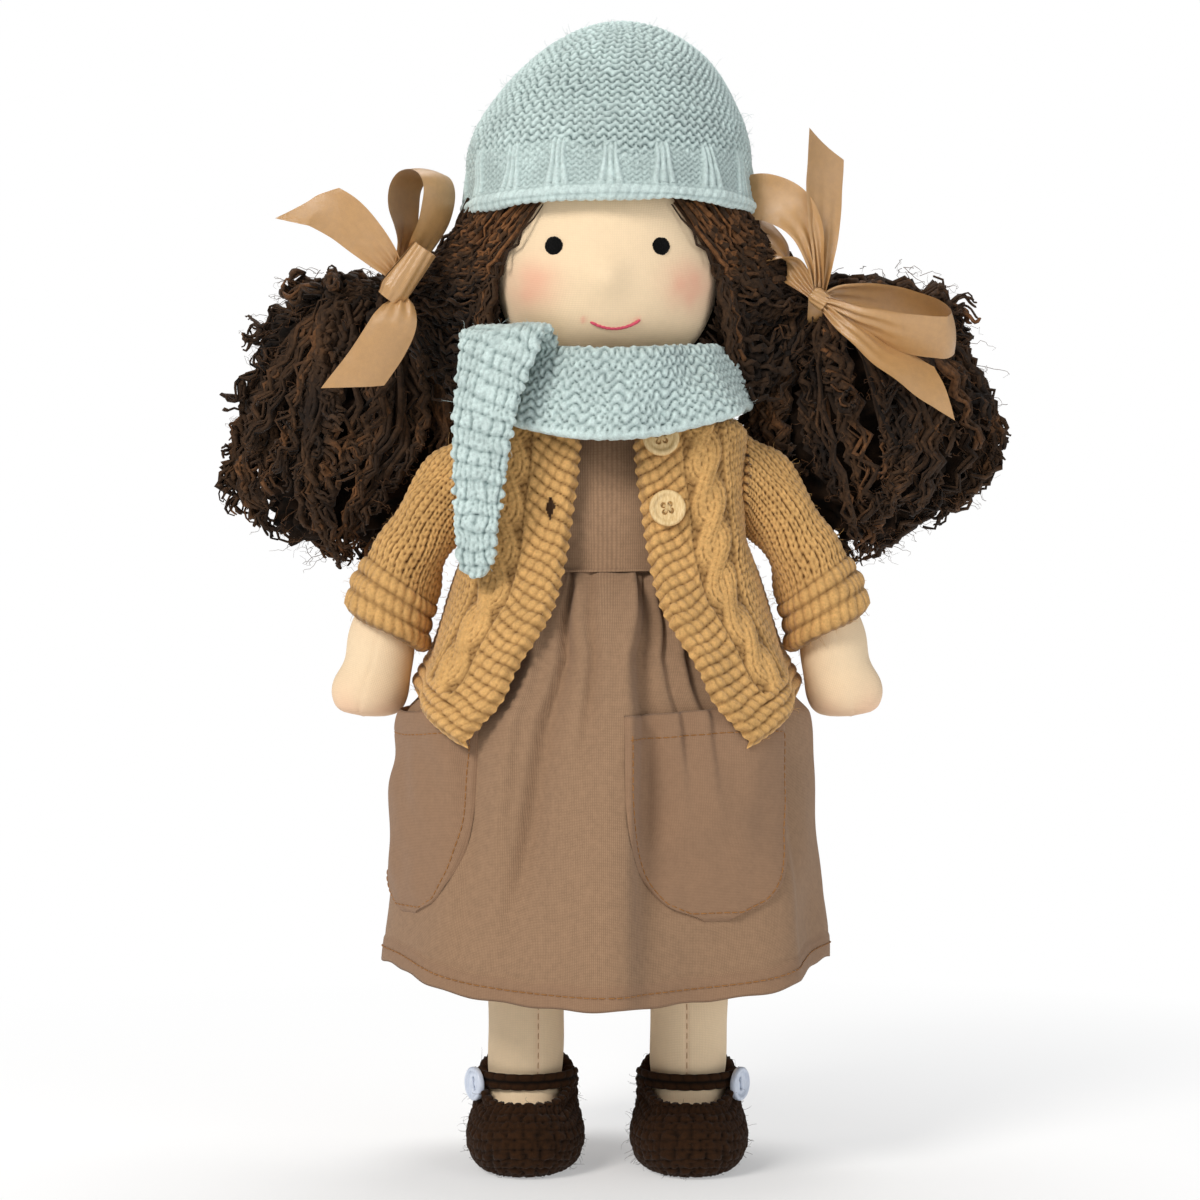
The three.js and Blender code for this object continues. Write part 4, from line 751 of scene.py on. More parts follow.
ends = np.linspace(-1, 1, 11)
run = np.linspace(0, 1, 9)[None]
t = ends[:-1, None] * (1 - run) + (ends[1:, None] + 0.12) * run
x = MOUTH_MIDDLE + MOUTH_HALF * t
z = MOUTH_HEIGHT + 2.3 * np.abs(t) ** 2.1 + 0.25 * (run - 0.5)
paths = together(x, on_head(x, z) - (0.35 + 0.3 * np.sin(np.pi * run)), z)
thick = np.repeat(0.2 + 0.34 * np.sin(np.pi * run) ** 0.5, len(t), 0)
mouth = tubes_piece("mouth_stitches", paths, thick, "head", pink_thread, 8)
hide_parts("mouth")
print("head:", len(head.data.polygons), "faces; mouth from", round(float(x.min()), 1), "to", round(float(x.max()), 1))

# %% [markdown]
# Torso, neck thread and hair bands are mostly hidden, and are made plainly. A squared oval changes its
# size from the hips to the shoulders, as in the frame.

# %% Torso
TORSO_BASE, TORSO_TOP, TORSO_WIDE, TORSO_DEEP = 160, 258, 44, 27
NECK_RADIUS, THREAD_RING, ELASTIC_RING = 14.0, 14.9, 8.4
TORSO_WIDTH = [
    (0, 0.86), (0.05, 0.97), (0.12, 1), (0.3, 0.93), (0.48, 0.8), (0.68, 0.83), (0.93, 0.84), (0.97, 0.66), (1, 0.36),
]
TORSO_DEPTH = [
    (0, 0.7), (0.05, 0.9), (0.12, 1), (0.3, 0.95), (0.48, 0.84), (0.7, 0.82), (0.85, 0.75), (0.93, 0.62), (1, 0.5),
]


def torso_section(z):
    """Half the torso's width and depth at a height."""
    level = (z - TORSO_BASE) / (TORSO_TOP - TORSO_BASE)
    return TORSO_WIDE * along(TORSO_WIDTH, level), TORSO_DEEP * along(TORSO_DEPTH, level)


def torso_grid(heights, columns, offset):
    """Squared ovals of the torso's section, a little larger by an offset."""
    wide, deep = torso_section(heights)
    return together(
        *on_oval(turns_of(columns)[None], (wide + offset)[:, None], (deep + offset)[:, None], 3), heights[:, None]
    )


neck_points = together(*on_oval(turns_of(96)[None], NECK_RADIUS, NECK_RADIUS), np.linspace(262, 274.7, 6)[:, None])
points = np.concatenate([torso_grid(np.linspace(TORSO_BASE, TORSO_TOP, 60), 96, 0), neck_points])
uv = wrapped_uv(turns_of(96), 40, points[:, :1, 2])
torso = grid_piece("torso_skin", points, "torso", jersey, closed=True, uv=uv, ends=(0, -1))
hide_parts("torso")


def ring_path(radius, steps, middle, axis):
    """Points round a circle; axis orders its two directions and its pole as x, y and z."""
    turn = np.linspace(0, FULL_TURN, steps)
    flat = np.stack([np.cos(turn), np.sin(turn), 0 * turn], -1) * radius
    return flat[:, axis] + np.array(middle)


windings = np.concatenate([ring_path(THREAD_RING, 40, (0, 0, z), [0, 1, 2]) for z in (266.0, 267.0)])
neck_tie = tubes_piece("neck_thread", windings[None], np.full((1, 80), 0.55), "torso", white_thread, 6)
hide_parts("neck_tie")
TIE = np.array([73, 8, 304.0])
for name, side in SIDES.items():
    middle = TIE * [side, 1, 1]
    rings = [ring_path(ELASTIC_RING, 40, middle + [dx, 0, 0], [2, 1, 0]) for dx in (-1.6, 0, 1.6)]
    loops = np.concatenate(rings)[None]
    band = tubes_piece(name + "_hair_elastic", loops, np.full((1, 120), 0.95), "head", elastic, 6)
    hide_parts(name + "_hair_band")
print("neck and hair bands")

# %% [markdown]
# The scarf is a thick purl collar that leans outwards, with a rolled lower edge. One end comes over it on
# the doll's right, and narrows as it hangs. The ridges of that end run across it, at a slant. The rows of
# the collar's table hold half widths and depths, how far forward, height, and the rise in front and at the sides.

# %% Scarf
COLLAR_STITCHES, COLLAR_ROW, END_STITCH, END_RIDGE = 58, 7.4, 3.9, 5.6
angle = turns_of(384 // EVERY)[None]
cos, sin = np.cos(angle), np.sin(angle)
stations = [
    (33.0, 31.0, 0.5, 272.0, 0.0, 2.0), (37.0, 34.5, 1.2, 277.5, 1.2, 4.0), (39.3, 36.4, 1.75, 280.6, 1.6, 4.6),
    (41.2, 38.4, 2.0, 278.0, 1.2, 5.2), (44.3, 39.4, 2.6, 270.0, 0.3, 7.4), (47.6, 40.8, 3.1, 262.0, -0.7, 9.6),
    (50.2, 41.9, 3.5, 255.0, -1.4, 11.4), (50.0, 41.6, 3.5, 253.2, -1.6, 11.6), (48.2, 39.8, 3.5, 252.8, -1.5, 11.4),
    (46.4, 38.0, 3.4, 255.6, -1.2, 11.0), (44.0, 36.0, 3.0, 262.0, -0.6, 7.0),
]
place = run_of(np.array(stations)[:, [0, 3]])
rows = np.linspace(0, place[-1], 120 // EVERY)
wide, deep, forward, level, front, side_rise = along_columns(place, stations, rows).T[..., None]
bulge = 1.2 * waves(together(60 * cos, 60 * sin, rows[:, None]), 34, 11)
points = np.stack(
    [(wide + bulge) * sin, -(deep + bulge) * cos - forward, level + front * cos + side_rise * sin**2], -1
)
across = angle / FULL_TURN * COLLAR_STITCHES + 0.12 * waves(points, 12, 12)
up = rows[:, None] / COLLAR_ROW + 0.05 * waves(points, 14, 13)
height = purl(across, up, 0.5, 0.42)
edge = smooth(2.0, 0.6, np.abs(rows[:, None] - place[7]))
height = mix(height, 0.5 + 0.5 * roped(angle / FULL_TURN * 62, 0), edge)
normals = outward(points, True)
wrap = grid_piece(
    "scarf_wrap", raised(points, normals, height, 1.9), "torso", pale_yarn, closed=True,
    values={"shade_relief": height},
)
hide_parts("scarf")
shown = slice(int(0.3 * len(points)), int(0.75 * len(points)))
fuzz("scarf_fuzz", points[shown], normals[shown], 320, "torso", pale_yarn, 16)

route = np.array([
    (-27.0, -21.0, 276.0, 13.5, 0.62), (-30.5, -26.0, 284.0, 15.5, 0.56), (-33.5, -32.0, 288.2, 16.0, 0.5),
    (-35.5, -37.5, 286.5, 15.6, 0.46), (-37.2, -40.4, 279.5, 14.0, 0.42), (-39.6, -42.0, 270.0, 12.2, 0.38),
    (-41.6, -42.6, 258.0, 10.8, 0.34), (-42.8, -41.6, 244.5, 9.4, 0.3), (-43.8, -40.2, 227.5, 7.9, 0.26),
    (-44.4, -39.2, 212.0, 6.2, 0.22), (-43.6, -38.6, 204.8, 4.4, 0.2),
])
place = run_of(route[:, :3])
rows = np.linspace(0, place[-1], 250 // EVERY)
line = along_columns(place, route, rows)
heading = unit(np.gradient(line[:, :3], axis=0))
across = np.stack([np.cos(line[:, 4]), -np.sin(line[:, 4]), 0 * rows], -1)
across = square_to(heading, across)
face = np.cross(heading, across)
turn = turns_of(120 // EVERY)
edge_x, edge_y = rounded(np.cos(turn), 0.75), rounded(np.sin(turn), 0.55)
wobble = 0.45 * np.sin(rows * FULL_TURN / 4.1)
half = (line[:, 3] + wobble)[:, None] * smooth(-0.5, 4, place[-1] - rows)[:, None] ** 0.4
points = line[:, None, :3] + across[:, None] * (half * edge_x)[..., None] + face[:, None] * (2.1 * edge_y)[:, None]
slant = 0.34 * smooth(90, 20, rows)[:, None] + 0.04
ridge = (rows[:, None] - slant * half * edge_x) / END_RIDGE + 0.07 * waves(points, 10, 15)
across = half * edge_x / END_STITCH + 0.1 * waves(points, 9, 14)
height = mix(roped(across, ridge, 0.25), knit(across, 2 * ridge), 0.45)
normals = outward(points, True)
tail = grid_piece(
    "scarf_end", raised(points, normals, height, 1.9), "torso", pale_yarn, closed=True,
    values={"shade_relief": height}, ends=(0, -1),
)
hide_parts("scarf")
fuzz("scarf_end_fuzz", points[10:-6], normals[10:-6], 200, "torso", pale_yarn, 17)
print("scarf:", len(wrap.data.polygons) + len(tail.data.polygons), "faces")

# %% [markdown]
# The skirt hangs from small gathers at the waist into wide soft folds; one high fold runs down its front.
# Its hem is turned up and stitched, and so are the edges of the two patch pockets. A fold's row holds its
# angle at the waist, its drift, width and depth in mm, and the shares of the fall where it starts and ends.

# %% Dress
WAIST, SKIRT_FALL, HEM_WIDE, HEM_DEEP, HEM_FOLD = 207, 145, 78, 65, 8.6
SKIRT_WIDTH = [
    (0, 0), (0.05, 0.12), (0.12, 0.36), (0.19, 0.5), (0.25, 0.6), (0.272, 0.64), (0.303, 0.72),
    (0.34, 0.83), (0.46, 0.87), (0.74, 0.945), (1, 1),
]
SKIRT_DEPTH = [(0, 0), (0.117, 0.34), (0.255, 0.58), (0.324, 0.68), (0.462, 0.78), (0.738, 0.9), (1, 1)]
waist_wide, waist_deep = (float(v) + 1.5 for v in torso_section(np.array(float(WAIST))))
FOLDS = [
    (0.2, -0.09, 0.05, -3.4, 0.0, 0.72), (0.12, -0.06, 0.085, 6.4, 0.0, 1.02), (0.33, 0.12, 0.05, -3.0, 0.0, 0.5),
    (-0.2, -0.3, 0.065, -5.2, 0.0, 0.8), (-0.36, -0.26, 0.07, 2.8, 0.0, 0.7), (-0.06, -0.12, 0.045, -3.0, 0.0, 0.45),
    (0.46, 0.16, 0.06, -2.8, 0.0, 0.5), (-0.75, 0.1, 0.1, -2.6, 0.1, 0.9), (0.95, 0.1, 0.1, -2.2, 0.2, 1.0),
    (-0.02, -0.05, 0.17, 3.0, 0.0, 1.0), (0.25, -0.07, 0.13, -3.4, 0.05, 1.0), (2.2, 0.1, 0.1, -3.4, 0.0, 0.9),
    (-2.3, -0.1, 0.1, -3.4, 0.0, 0.9), (3.0, 0.05, 0.09, -3.6, 0.0, 0.8), (1.5, 0.1, 0.1, -2.6, 0.0, 0.8),
    (-1.6, 0.0, 0.1, -2.6, 0.0, 0.8), (2.65, 0.0, 0.07, -2.4, 0.0, 0.7), (-2.75, 0.0, 0.07, -2.6, 0.0, 0.6),
]


def hem_level(angle):
    """The height of the hem: highest at the sides, with five slow waves."""
    return WAIST - SKIRT_FALL + 10 * np.sin(angle) ** 2 + 0.7 * np.sin(5 * angle + 1)


def on_skirt(angle, z, offset):
    """A point of the skirt, with its gathers and folds."""
    fall = (WAIST - z) / SKIRT_FALL
    fold = offset + 3.5 * fall**2 * (0.6 * np.cos(8 * angle - 0.5) + 0.4 * np.cos(6 * angle + 0.4))
    gathers = np.sin(26 * angle + 1.6 * np.sin(3 * angle + 0.4)) + 0.5 * np.sin(41 * angle + 2)
    fold = fold + 1.3 * gathers * np.exp(-fall / 0.12) * smooth(0, 0.012, fall)
    round_it = together(62 * np.sin(angle), -62 * np.cos(angle), z)
    fold = fold + 0.5 * waves(round_it, 34, 23) * smooth(0, 0.14, fall)
    for at, drift, width, depth, start, end in FOLDS:
        away = np.angle(np.exp(1j * (angle - at - drift * fall))) / (width * (0.5 + 1.6 * fall))
        away = away * np.where(away * depth > 0, 2.6, 0.75)
        length = smooth(start - 0.03, start + 0.05, fall) * smooth(end + 0.12, end - 0.2, fall)
        fold = fold + depth * bell(away) * length
    wide = mix(waist_wide, HEM_WIDE, along(SKIRT_WIDTH, fall)) + fold
    deep = mix(waist_deep, HEM_DEEP, along(SKIRT_DEPTH, fall)) + fold
    return together(*on_oval(angle, wide, deep, mix(3, 2, np.clip(fall / 0.2, 0, 1))), z)


print("skirt at the waist and near the hem:", on_skirt(0.0, np.array([206.0, 70.0]), 0.0).round(1).tolist())

# %% [markdown]
# The skirt's grid ends in a turned up hem. The bodice is a smooth layer over the torso.

# %% Skirt and bodice
angle = turns_of(310 // EVERY)[None]
hem = hem_level(angle) + 0.3 * np.sin(23 * angle)
down = np.linspace(0, 1, 132 // EVERY)[:, None]
z = mix(WAIST, hem, down)
above = z - hem
lift = 0.25 * smooth(8.8, 8.0, above) - 0.5 * bell((above - HEM_FOLD) / 0.5)
turned_up = np.linspace(0, 1, 8)[1:, None]
under = on_skirt(angle, mix(hem, hem + 8, turned_up), -1.2 * np.minimum(1, turned_up * 4))
points = np.concatenate([on_skirt(angle, z, lift), under])
hem_band = np.concatenate([0.36 * smooth(8.8, 7.6, above), np.full(under.shape[:2], 0.36)])
uv_level = np.append(z[:, 0], WAIST - SKIRT_FALL - np.arange(len(under)))[:, None]
uv = wrapped_uv(angle, HEM_DEEP, uv_level)
skirt = grid_piece(
    "skirt_cloth", points, "torso", dress_cloth, closed=True, uv=uv, values={"hem_tone_and_pocket_shade": hem_band},
)
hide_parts("skirt")

heights = np.concatenate([np.linspace(206.4, 207.6, 4), np.linspace(208.4, 254, 46)])
bodice_points = torso_grid(heights, 160, 1.3)
bodice_points += outward(bodice_points, True) * (0.5 * waves(bodice_points, 26, 21) + 0.5)[..., None]
bodice_points[:4] += outward(bodice_points, True)[:4] * np.array([1.6, 1.8, 1.5, 0.6])[:, None, None]
uv = wrapped_uv(turns_of(160), 35, heights[:, None])
bodice = grid_piece("bodice_cloth", bodice_points, "torso", dress_cloth, closed=True, uv=uv)
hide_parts("dress_bodice")
print("dress:", len(skirt.data.polygons) + len(bodice.data.polygons), "faces")

# %% [markdown]
# Stitches are short arched threads along a line. Each pocket is a patch laid on the skirt's own surface.


# %% Stitching and pockets
def dashes(line, normals, dash, space, lift):
    """Short threads along a line of points: a row of machine stitches as count x 6 x 3 points."""
    length = run_of(line)
    starts = np.arange(0.3, length[-1] - dash, dash + space)
    at = starts[:, None] + np.linspace(0, dash, 6)[None]
    out = lift * np.sin(np.linspace(0, np.pi, 6)) ** 0.5 - 0.12
    points, facing = (np.stack([np.interp(at, length, axis) for axis in v.T], -1) for v in (line, normals))
    return points + facing * out[None, :, None]


def sewing(name, lines, body, dash=2.2, space=0.5, radius=0.2, lift=0.3):
    """Rows of stitches as one piece, from pairs of a line and its normals."""
    paths = np.concatenate([dashes(line, normals, dash, space, lift) for line, normals in lines])
    return tubes_piece(name, paths, np.full(paths.shape[:2], radius), body, gold_thread, 5)


turn = np.linspace(0, FULL_TURN, 900)
line = on_skirt(turn, hem_level(turn) + 4.6, 0.35)
normals = outward(np.stack([line, line + [0, 0, 1]]), False, np.stack([line, line]) * [1, 1, 0])[0]
hem_thread = sewing("hem_stitches", [(line, normals)], "torso")

POCKET_WIDTH = [(0, 1), (0.5, 0.98), (0.75, 0.85), (0.9, 0.6), (1, 0.25)]
POCKET_DROP, POCKET_LENGTH, POCKET_TURNING, POCKET_SPREAD = 47, 70, 0.028, 0.445
POCKET_ANGLES = {"left": 0.515, "right": -1.108}
for name, middle_angle in POCKET_ANGLES.items():
    column = np.linspace(-1, 1, 84 // EVERY)[None]
    down = np.concatenate([np.linspace(-POCKET_TURNING, 0, 4)[:-1], np.linspace(0, 1.0, 92 // EVERY) ** 0.93])[:, None]
    share = along(POCKET_WIDTH, np.clip(down, 0, 1)) * mix(1, 0.55, smooth(0.93, 1, down))
    tucked = np.clip(-down / POCKET_TURNING, 0, 1)
    puff = 1.3 + (1.9 * smooth(1.0, 0.3, down) + 0.9 * (1 - down)) * np.clip(1 - column**2, 0, 1)
    puff = puff - 1.1 * smooth(0.965, 1.0, np.abs(column)) - 1.1 * smooth(0.982, 1.0, down) - 1.4 * tucked
    puff = puff - 0.3 * bell((down - 0.118) / 0.008)
    level = WAIST - POCKET_DROP - POCKET_LENGTH * np.abs(down) + 1.2 * np.sin(2.2 * column + middle_angle) * (1 - down)
    points = on_skirt(middle_angle + POCKET_SPREAD * share * column, level, puff)
    points += 0.25 * waves(points, 13, 22)[..., None] * (points * [1, 1, 0]) / HEM_DEEP
    uv = together(column * 30, 160 - POCKET_LENGTH * down)
    # Painted shade: each pocket is darkened as a whole.
    pocket = grid_piece(
        name + "_pocket_cloth", points, "torso", dress_cloth, uv=uv,
        values={"hem_tone_and_pocket_shade": np.full(points.shape[:2], 0.4)},
    )
    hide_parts(name + "_pocket")
    facing = outward(points, False, points * [1, 1, 0])
    rows, columns = points.shape[:2]
    side_rows = np.linspace(0.11 * rows, 0.9 * rows, 80)
    r = np.concatenate([side_rows, np.full(60, 0.955 * rows), side_rows[::-1]])
    c = np.concatenate([np.full(80, 0.045), np.linspace(0.09, 0.91, 60), np.full(80, 0.955)]) * (columns - 1)
    top = (np.full(90, 0.13 * rows), np.linspace(0.03, 0.97, 90) * (columns - 1))
    seams = [(rr.astype(int), cc.astype(int)) for rr, cc in ((r, c), top)]
    lines = [(points[seam], facing[seam]) for seam in seams]
    sewing(name + "_pocket_stitches", lines, "torso", lift=0.25)

# %% [markdown]
# The cardigan is two halves of knitting that meet at the middle of the back. From each front edge come
# a ridged band, a twisted cable and then smooth stitches; the hem is ridged and its edge rolls in. The
# columns are spaced by their true length from the front edge, so that the band keeps its width.

# %% Cardigan
CARDIGAN_WIDTH = [
    (0, 1.3), (0.087, 1.17), (0.17, 0.95), (0.2, 0.88), (0.27, 0.68), (0.365, 0.5), (0.435, 0.39),
    (0.51, 0.26), (0.57, 0.12), (0.6, 0.04), (0.63, 0), (0.93, 0), (0.97, -0.28), (1, -0.9),
]
CARDIGAN_DEPTH = [
    (0, 1.28), (0.22, 1), (0.365, 0.66), (0.51, 0.28), (0.63, 0.1), (0.71, 0.03), (0.93, -0.04),
    (0.97, -0.16), (1, -0.36),
]
CARDIGAN_OPENING = [
    (0, 1), (0.02, 1), (0.13, 0.76), (0.235, 0.64), (0.426, 0.37), (0.748, 0.223), (0.904, 0.186), (1, 0.17),
]
CARDIGAN_BASE, CARDIGAN_TOP, SHOULDER_WIDE, SHOULDER_DEEP, FLARE_WIDE, FLARE_DEEP = 148, 263, 48.5, 31, 20, 25
SIDE_RISE, BACK_RISE = 18, 20
BAND, CABLE_END, FINE_END, FAR_STITCHES = 16.0, 32.0, 34, 36
ARM_HOLE_RADIUS, ARM_HOLE_HEIGHT, BUTTON_HOLE_SIDE, BUTTON_HOLE_HEIGHT = 13, 240, 19.4, 228.5
STITCH, ROW, RIDGE, CABLE_TURN = 3.4, 2.75, 4.3, 30


def cardigan_section(z):
    """Half the cardigan's width and depth at a height, half its front opening, and how square it is."""
    level = (z - CARDIGAN_BASE) / (CARDIGAN_TOP - CARDIGAN_BASE)
    wide = SHOULDER_WIDE + FLARE_WIDE * along(CARDIGAN_WIDTH, level)
    deep = SHOULDER_DEEP + FLARE_DEEP * along(CARDIGAN_DEPTH, level)
    return wide, deep, SHOULDER_WIDE * along(CARDIGAN_OPENING, level), 2.2 + np.clip(level, 0, 1)


def on_cardigan(turned, rise):
    """A point of the doll's right half: turned runs from its front edge, 0, to the middle of the back, 0.5."""
    turned = np.clip(turned, 0, 0.5)
    to_back = mix(SIDE_RISE, BACK_RISE, turned * 4 - 1)
    hem_rise = np.where(turned < 0.25, SIDE_RISE * np.sin(turned * FULL_TURN), to_back)
    z = mix(CARDIGAN_BASE + hem_rise, CARDIGAN_TOP, rise)
    wide, deep, opening, squareness = cardigan_section(z)
    edge = np.arcsin((opening / wide) ** (squareness / 2))
    return together(*on_oval(mix(-edge, -np.pi, turned * 2), wide, deep, squareness), z)


def front_of_cardigan(x, z):
    """A place on the cardigan's front and the direction that faces out of it."""

    def depth(u, v):
        wide, deep, _, squareness = cardigan_section(v)
        return -deep * (1 - (abs(u) / wide) ** squareness) ** (1 / squareness)

    slope_x = (depth(x + 3, z) - depth(x - 3, z)) / 6
    slope_z = (depth(x, z + 6) - depth(x, z - 6)) / 12
    return np.array([x, depth(x, z), z]), unit(np.array([slope_x, -1.0, slope_z]))


print("cardigan at its front edge:", on_cardigan(0.0, np.array([0.0, 0.5, 1.0])).round(1).tolist())

# %% [markdown]
# place is the length from the front edge, and drop the length up from the hem. They count the stitches.

# %% The cardigan's knitting
rises = np.linspace(0, 1, 236 // EVERY)
finest = np.linspace(0, 0.5, 400)
route = on_cardigan(finest[None], rises[:, None])
length = run_of(route, 1)
beyond = length[:, -1:] - FINE_END
near = np.linspace(0, FINE_END, 64 // EVERY)
share_far = np.linspace(0, 1, 150 // EVERY)[1:]
place = np.concatenate([np.repeat(near[None], len(rises), 0), FINE_END + share_far[None] * beyond], 1)
turned = np.stack([np.interp(place[row], length[row], finest) for row in range(len(rises))])
half = on_cardigan(turned, rises[:, None])
drop = run_of(half)
far_stitch = FINE_END / STITCH + (place - FINE_END) / np.maximum(beyond, 1) * FAR_STITCHES
stitch = np.where(place < FINE_END, place / STITCH, far_stitch)
wander = 0.16 * waves(half, 17, 31)
garter = roped(place / STITCH + wander, drop / RIDGE + 0.07 * waves(half, 12, 32), 0.35)
plain = knit(stitch + wander, drop / ROW + 0.4 * wander)
turn = FULL_TURN * drop / CABLE_TURN
cable = 0.1 + 0.4 * purl(place / 3.3 + wander, drop / 6.2)
for phase in (0, np.pi):
    middle = (BAND + CABLE_END) / 2 + 3.1 * np.sin(turn + phase)
    over = 0.5 + 0.5 * np.cos(turn + phase)
    off = (place - middle) / 4.2
    rope = dome(off)
    strands = knit((place - middle) / 3.1 + 0.5, drop / ROW + wander)
    cable = np.maximum(cable, np.where(np.abs(off) < 1, rope * (0.55 + 0.6 * over) + 0.6 * strands - 0.25, 0))
in_cable = smooth(BAND - 0.3, BAND + 0.8, place) * smooth(CABLE_END + 0.4, CABLE_END - 0.6, place)
in_band = smooth(BAND + 0.4, BAND - 0.6, place)
in_hem = smooth(14.5, 13, drop)
height = mix(mix(plain, cable, in_cable), garter, in_band)
height = mix(height, garter, in_hem)
roll_front, roll_hem = smooth(3.2, 0, place), smooth(3.0, 0, drop)
shift = -3.4 * np.maximum(roll_front**2, roll_hem**2)
scallop = 0.5 * np.cos(FULL_TURN * drop / RIDGE) * smooth(5, 0, place)
soft = 0.9 * waves(half, 40, 33) * smooth(0, 20, place)
half_normals = outward(half, False, half * [1, 1, 0])
tangent = unit(np.gradient(half, axis=1))
relief_depth = 1.2 + 0.5 * in_cable + 0.55 * np.maximum(in_band, in_hem)
out = shift + soft + (height - 0.6) * relief_depth
shaped = half + half_normals * out[..., None] - tangent * scallop[..., None]
x, y, z = np.moveaxis(half, -1, 0)
arm_hole = np.hypot(y / ARM_HOLE_RADIUS, (z - ARM_HOLE_HEIGHT) / ARM_HOLE_RADIUS) < 1
arm_hole &= np.abs(x) > 40
button_hole = np.abs(x + BUTTON_HOLE_SIDE) / 2.0 + np.abs(z - BUTTON_HOLE_HEIGHT) / 4.7 < 1
button_hole &= y < 0
for name, side in SIDES.items():
    mirror = [-side, 1, 1]
    points, normals = shaped * mirror, half_normals * mirror
    gone = arm_hole | (button_hole if side < 0 else False)
    keep = ~(gone[:-1, :-1] & gone[1:, 1:])
    piece = grid_piece(
        name + "_cardigan_half", points, "torso", mustard_yarn, values={"shade_relief": height}, keep=keep,
    )
    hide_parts("cardigan_body")
    fuzz(
        name + "_cardigan_fuzz", points[::3, 3::3], normals[::3, 3::3], 300, "torso", mustard_yarn,
        34 + side,
    )

# %% [markdown]
# Sleeves and arms follow one curve out of the armhole and down. Each ring stands square to the curve.
# The sleeve ends in a ridged cuff; the arm goes on into a rounded hand with a seam down its front.

# %% Sleeves and arms
SLEEVE_TURN = [(0, 1), (0.25, 0.733), (0.5, 0.556), (0.75, 0.422), (1, 0.329)]
SLEEVE_RADIUS = [(0, 1), (0.25, 0.853), (0.5, 0.753), (0.75, 0.841), (1, 0.941)]
ARM_RADIUS = [(0, 1), (0.25, 0.99), (0.5, 0.914), (0.75, 0.97), (1, 1.095)]
ROOT, CUFF = np.array([48.8, 240.0]), np.array([77.5, 188.5])
BEND = ROOT + (CUFF - ROOT) * [0.49, 0.18]
SLEEVE_LENGTH, SLEEVE_ROOT, ARM_ROOT, HAND_ROOT, SLEEVE_STITCHES = 61.5, 17, 10.5, 13.2, 28


def arm_rings(centres, turn, wide, deep, angle):
    """Rings in the doll's left half: centres are x and z, turn is the share of a right angle from level."""
    lean = (turn * np.pi / 2)[:, None]
    across = wide[:, None] * np.sin(angle)
    x = centres[:, :1] + across * np.cos(lean)
    z = centres[:, 1:] + across * np.sin(lean)
    return together(x, -deep[:, None] * np.cos(angle), z)


def sleeve_line(place):
    """The sleeve's middle line, a quadratic curve from the shoulder by way of a bend to the cuff."""
    t = place[:, None]
    return (1 - t) ** 2 * ROOT + 2 * t * (1 - t) * BEND + t * t * CUFF


place = np.concatenate([[-0.09, -0.045], np.linspace(0, 1, 134 // EVERY), [1.012, 1.016, 1.01, 0.985, 0.95]])
angle = turns_of(180 // EVERY)[None]
tuck = np.concatenate([[3.5, 1.2], np.zeros(134 // EVERY), [0.6, 1.7, 2.8, 3.3, 3.3]])
wide = SLEEVE_ROOT * along(SLEEVE_RADIUS, place) - tuck
sleeve_points = arm_rings(sleeve_line(place), along(SLEEVE_TURN, place), wide, wide, angle)
puff = waves(sleeve_points, 24, 41) * 0.9
down = place[:, None] * SLEEVE_LENGTH
cuff = smooth(48.5, 50, down)
wander = 0.12 * waves(sleeve_points, 11, 42)
across = angle / FULL_TURN * SLEEVE_STITCHES + wander
height = mix(knit(across, -down / ROW), roped(across, down / RIDGE + 0.08 * wander, 0.35), cuff)
sleeve_points += outward(sleeve_points, True) * (puff + 0.8 * cuff)[..., None]
sleeve_normals = outward(sleeve_points, True)

hand = np.array([
    (0.35, 0.46, 0.95, 0.8, 0.22), (0.68, 0.7, 1, 0.83, 0.15), (0.88, 0.88, 0.87, 0.74, 0.1),
    (0.97, 0.97, 0.57, 0.5, 0.05), (1.0, 1.0, 0.04, 0.04, 0.05),
])
nine = np.linspace(0, 1, 9)
centres = np.concatenate([[(35.8, 240), (42, 240)], sleeve_line(nine), CUFF + hand[:, :2] * [8, -32.3]])
at = run_of(centres)
radii, depths = (
    np.concatenate([[10.4, 10.5], ARM_ROOT * along(ARM_RADIUS, nine), HAND_ROOT * hand[:, i]]) for i in (2, 3)
)
leans = np.concatenate([[1, 1], along(SLEEVE_TURN, nine), hand[:, 4]])
steps = at[-1] * (1 - (1 - np.linspace(0, 1, 130)) ** 1.25)
centre_line = along_columns(at, centres, steps)
wide_at, deep_at, lean_at = along_columns(at, np.stack([radii, depths, leans], -1), steps).T
tip = np.clip((at[-1] - steps) / 9.5, 0, 1)
round_tip = dome(1 - tip)
wide_at = np.where(tip < 1, np.maximum(wide_at, 12.2 * round_tip * 0.86), wide_at) * np.where(tip < 0.03, 0.4, 1)
arm_angle = turns_of(84)[None]
arm_points = arm_rings(centre_line, lean_at, wide_at, deep_at, arm_angle)
seam = bell((arm_angle - 0.12) / 0.035)
arm_points += outward(arm_points, True) * (0.25 * waves(arm_points, 17, 43) - 0.5 * seam)[..., None]
arm_uv = wrapped_uv(arm_angle, 12, -steps[:, None])
flush = 0.16 * bell((at[-1] - steps[:, None]) / 9) * (1 + 0.3 * waves(arm_points, 12, 44))
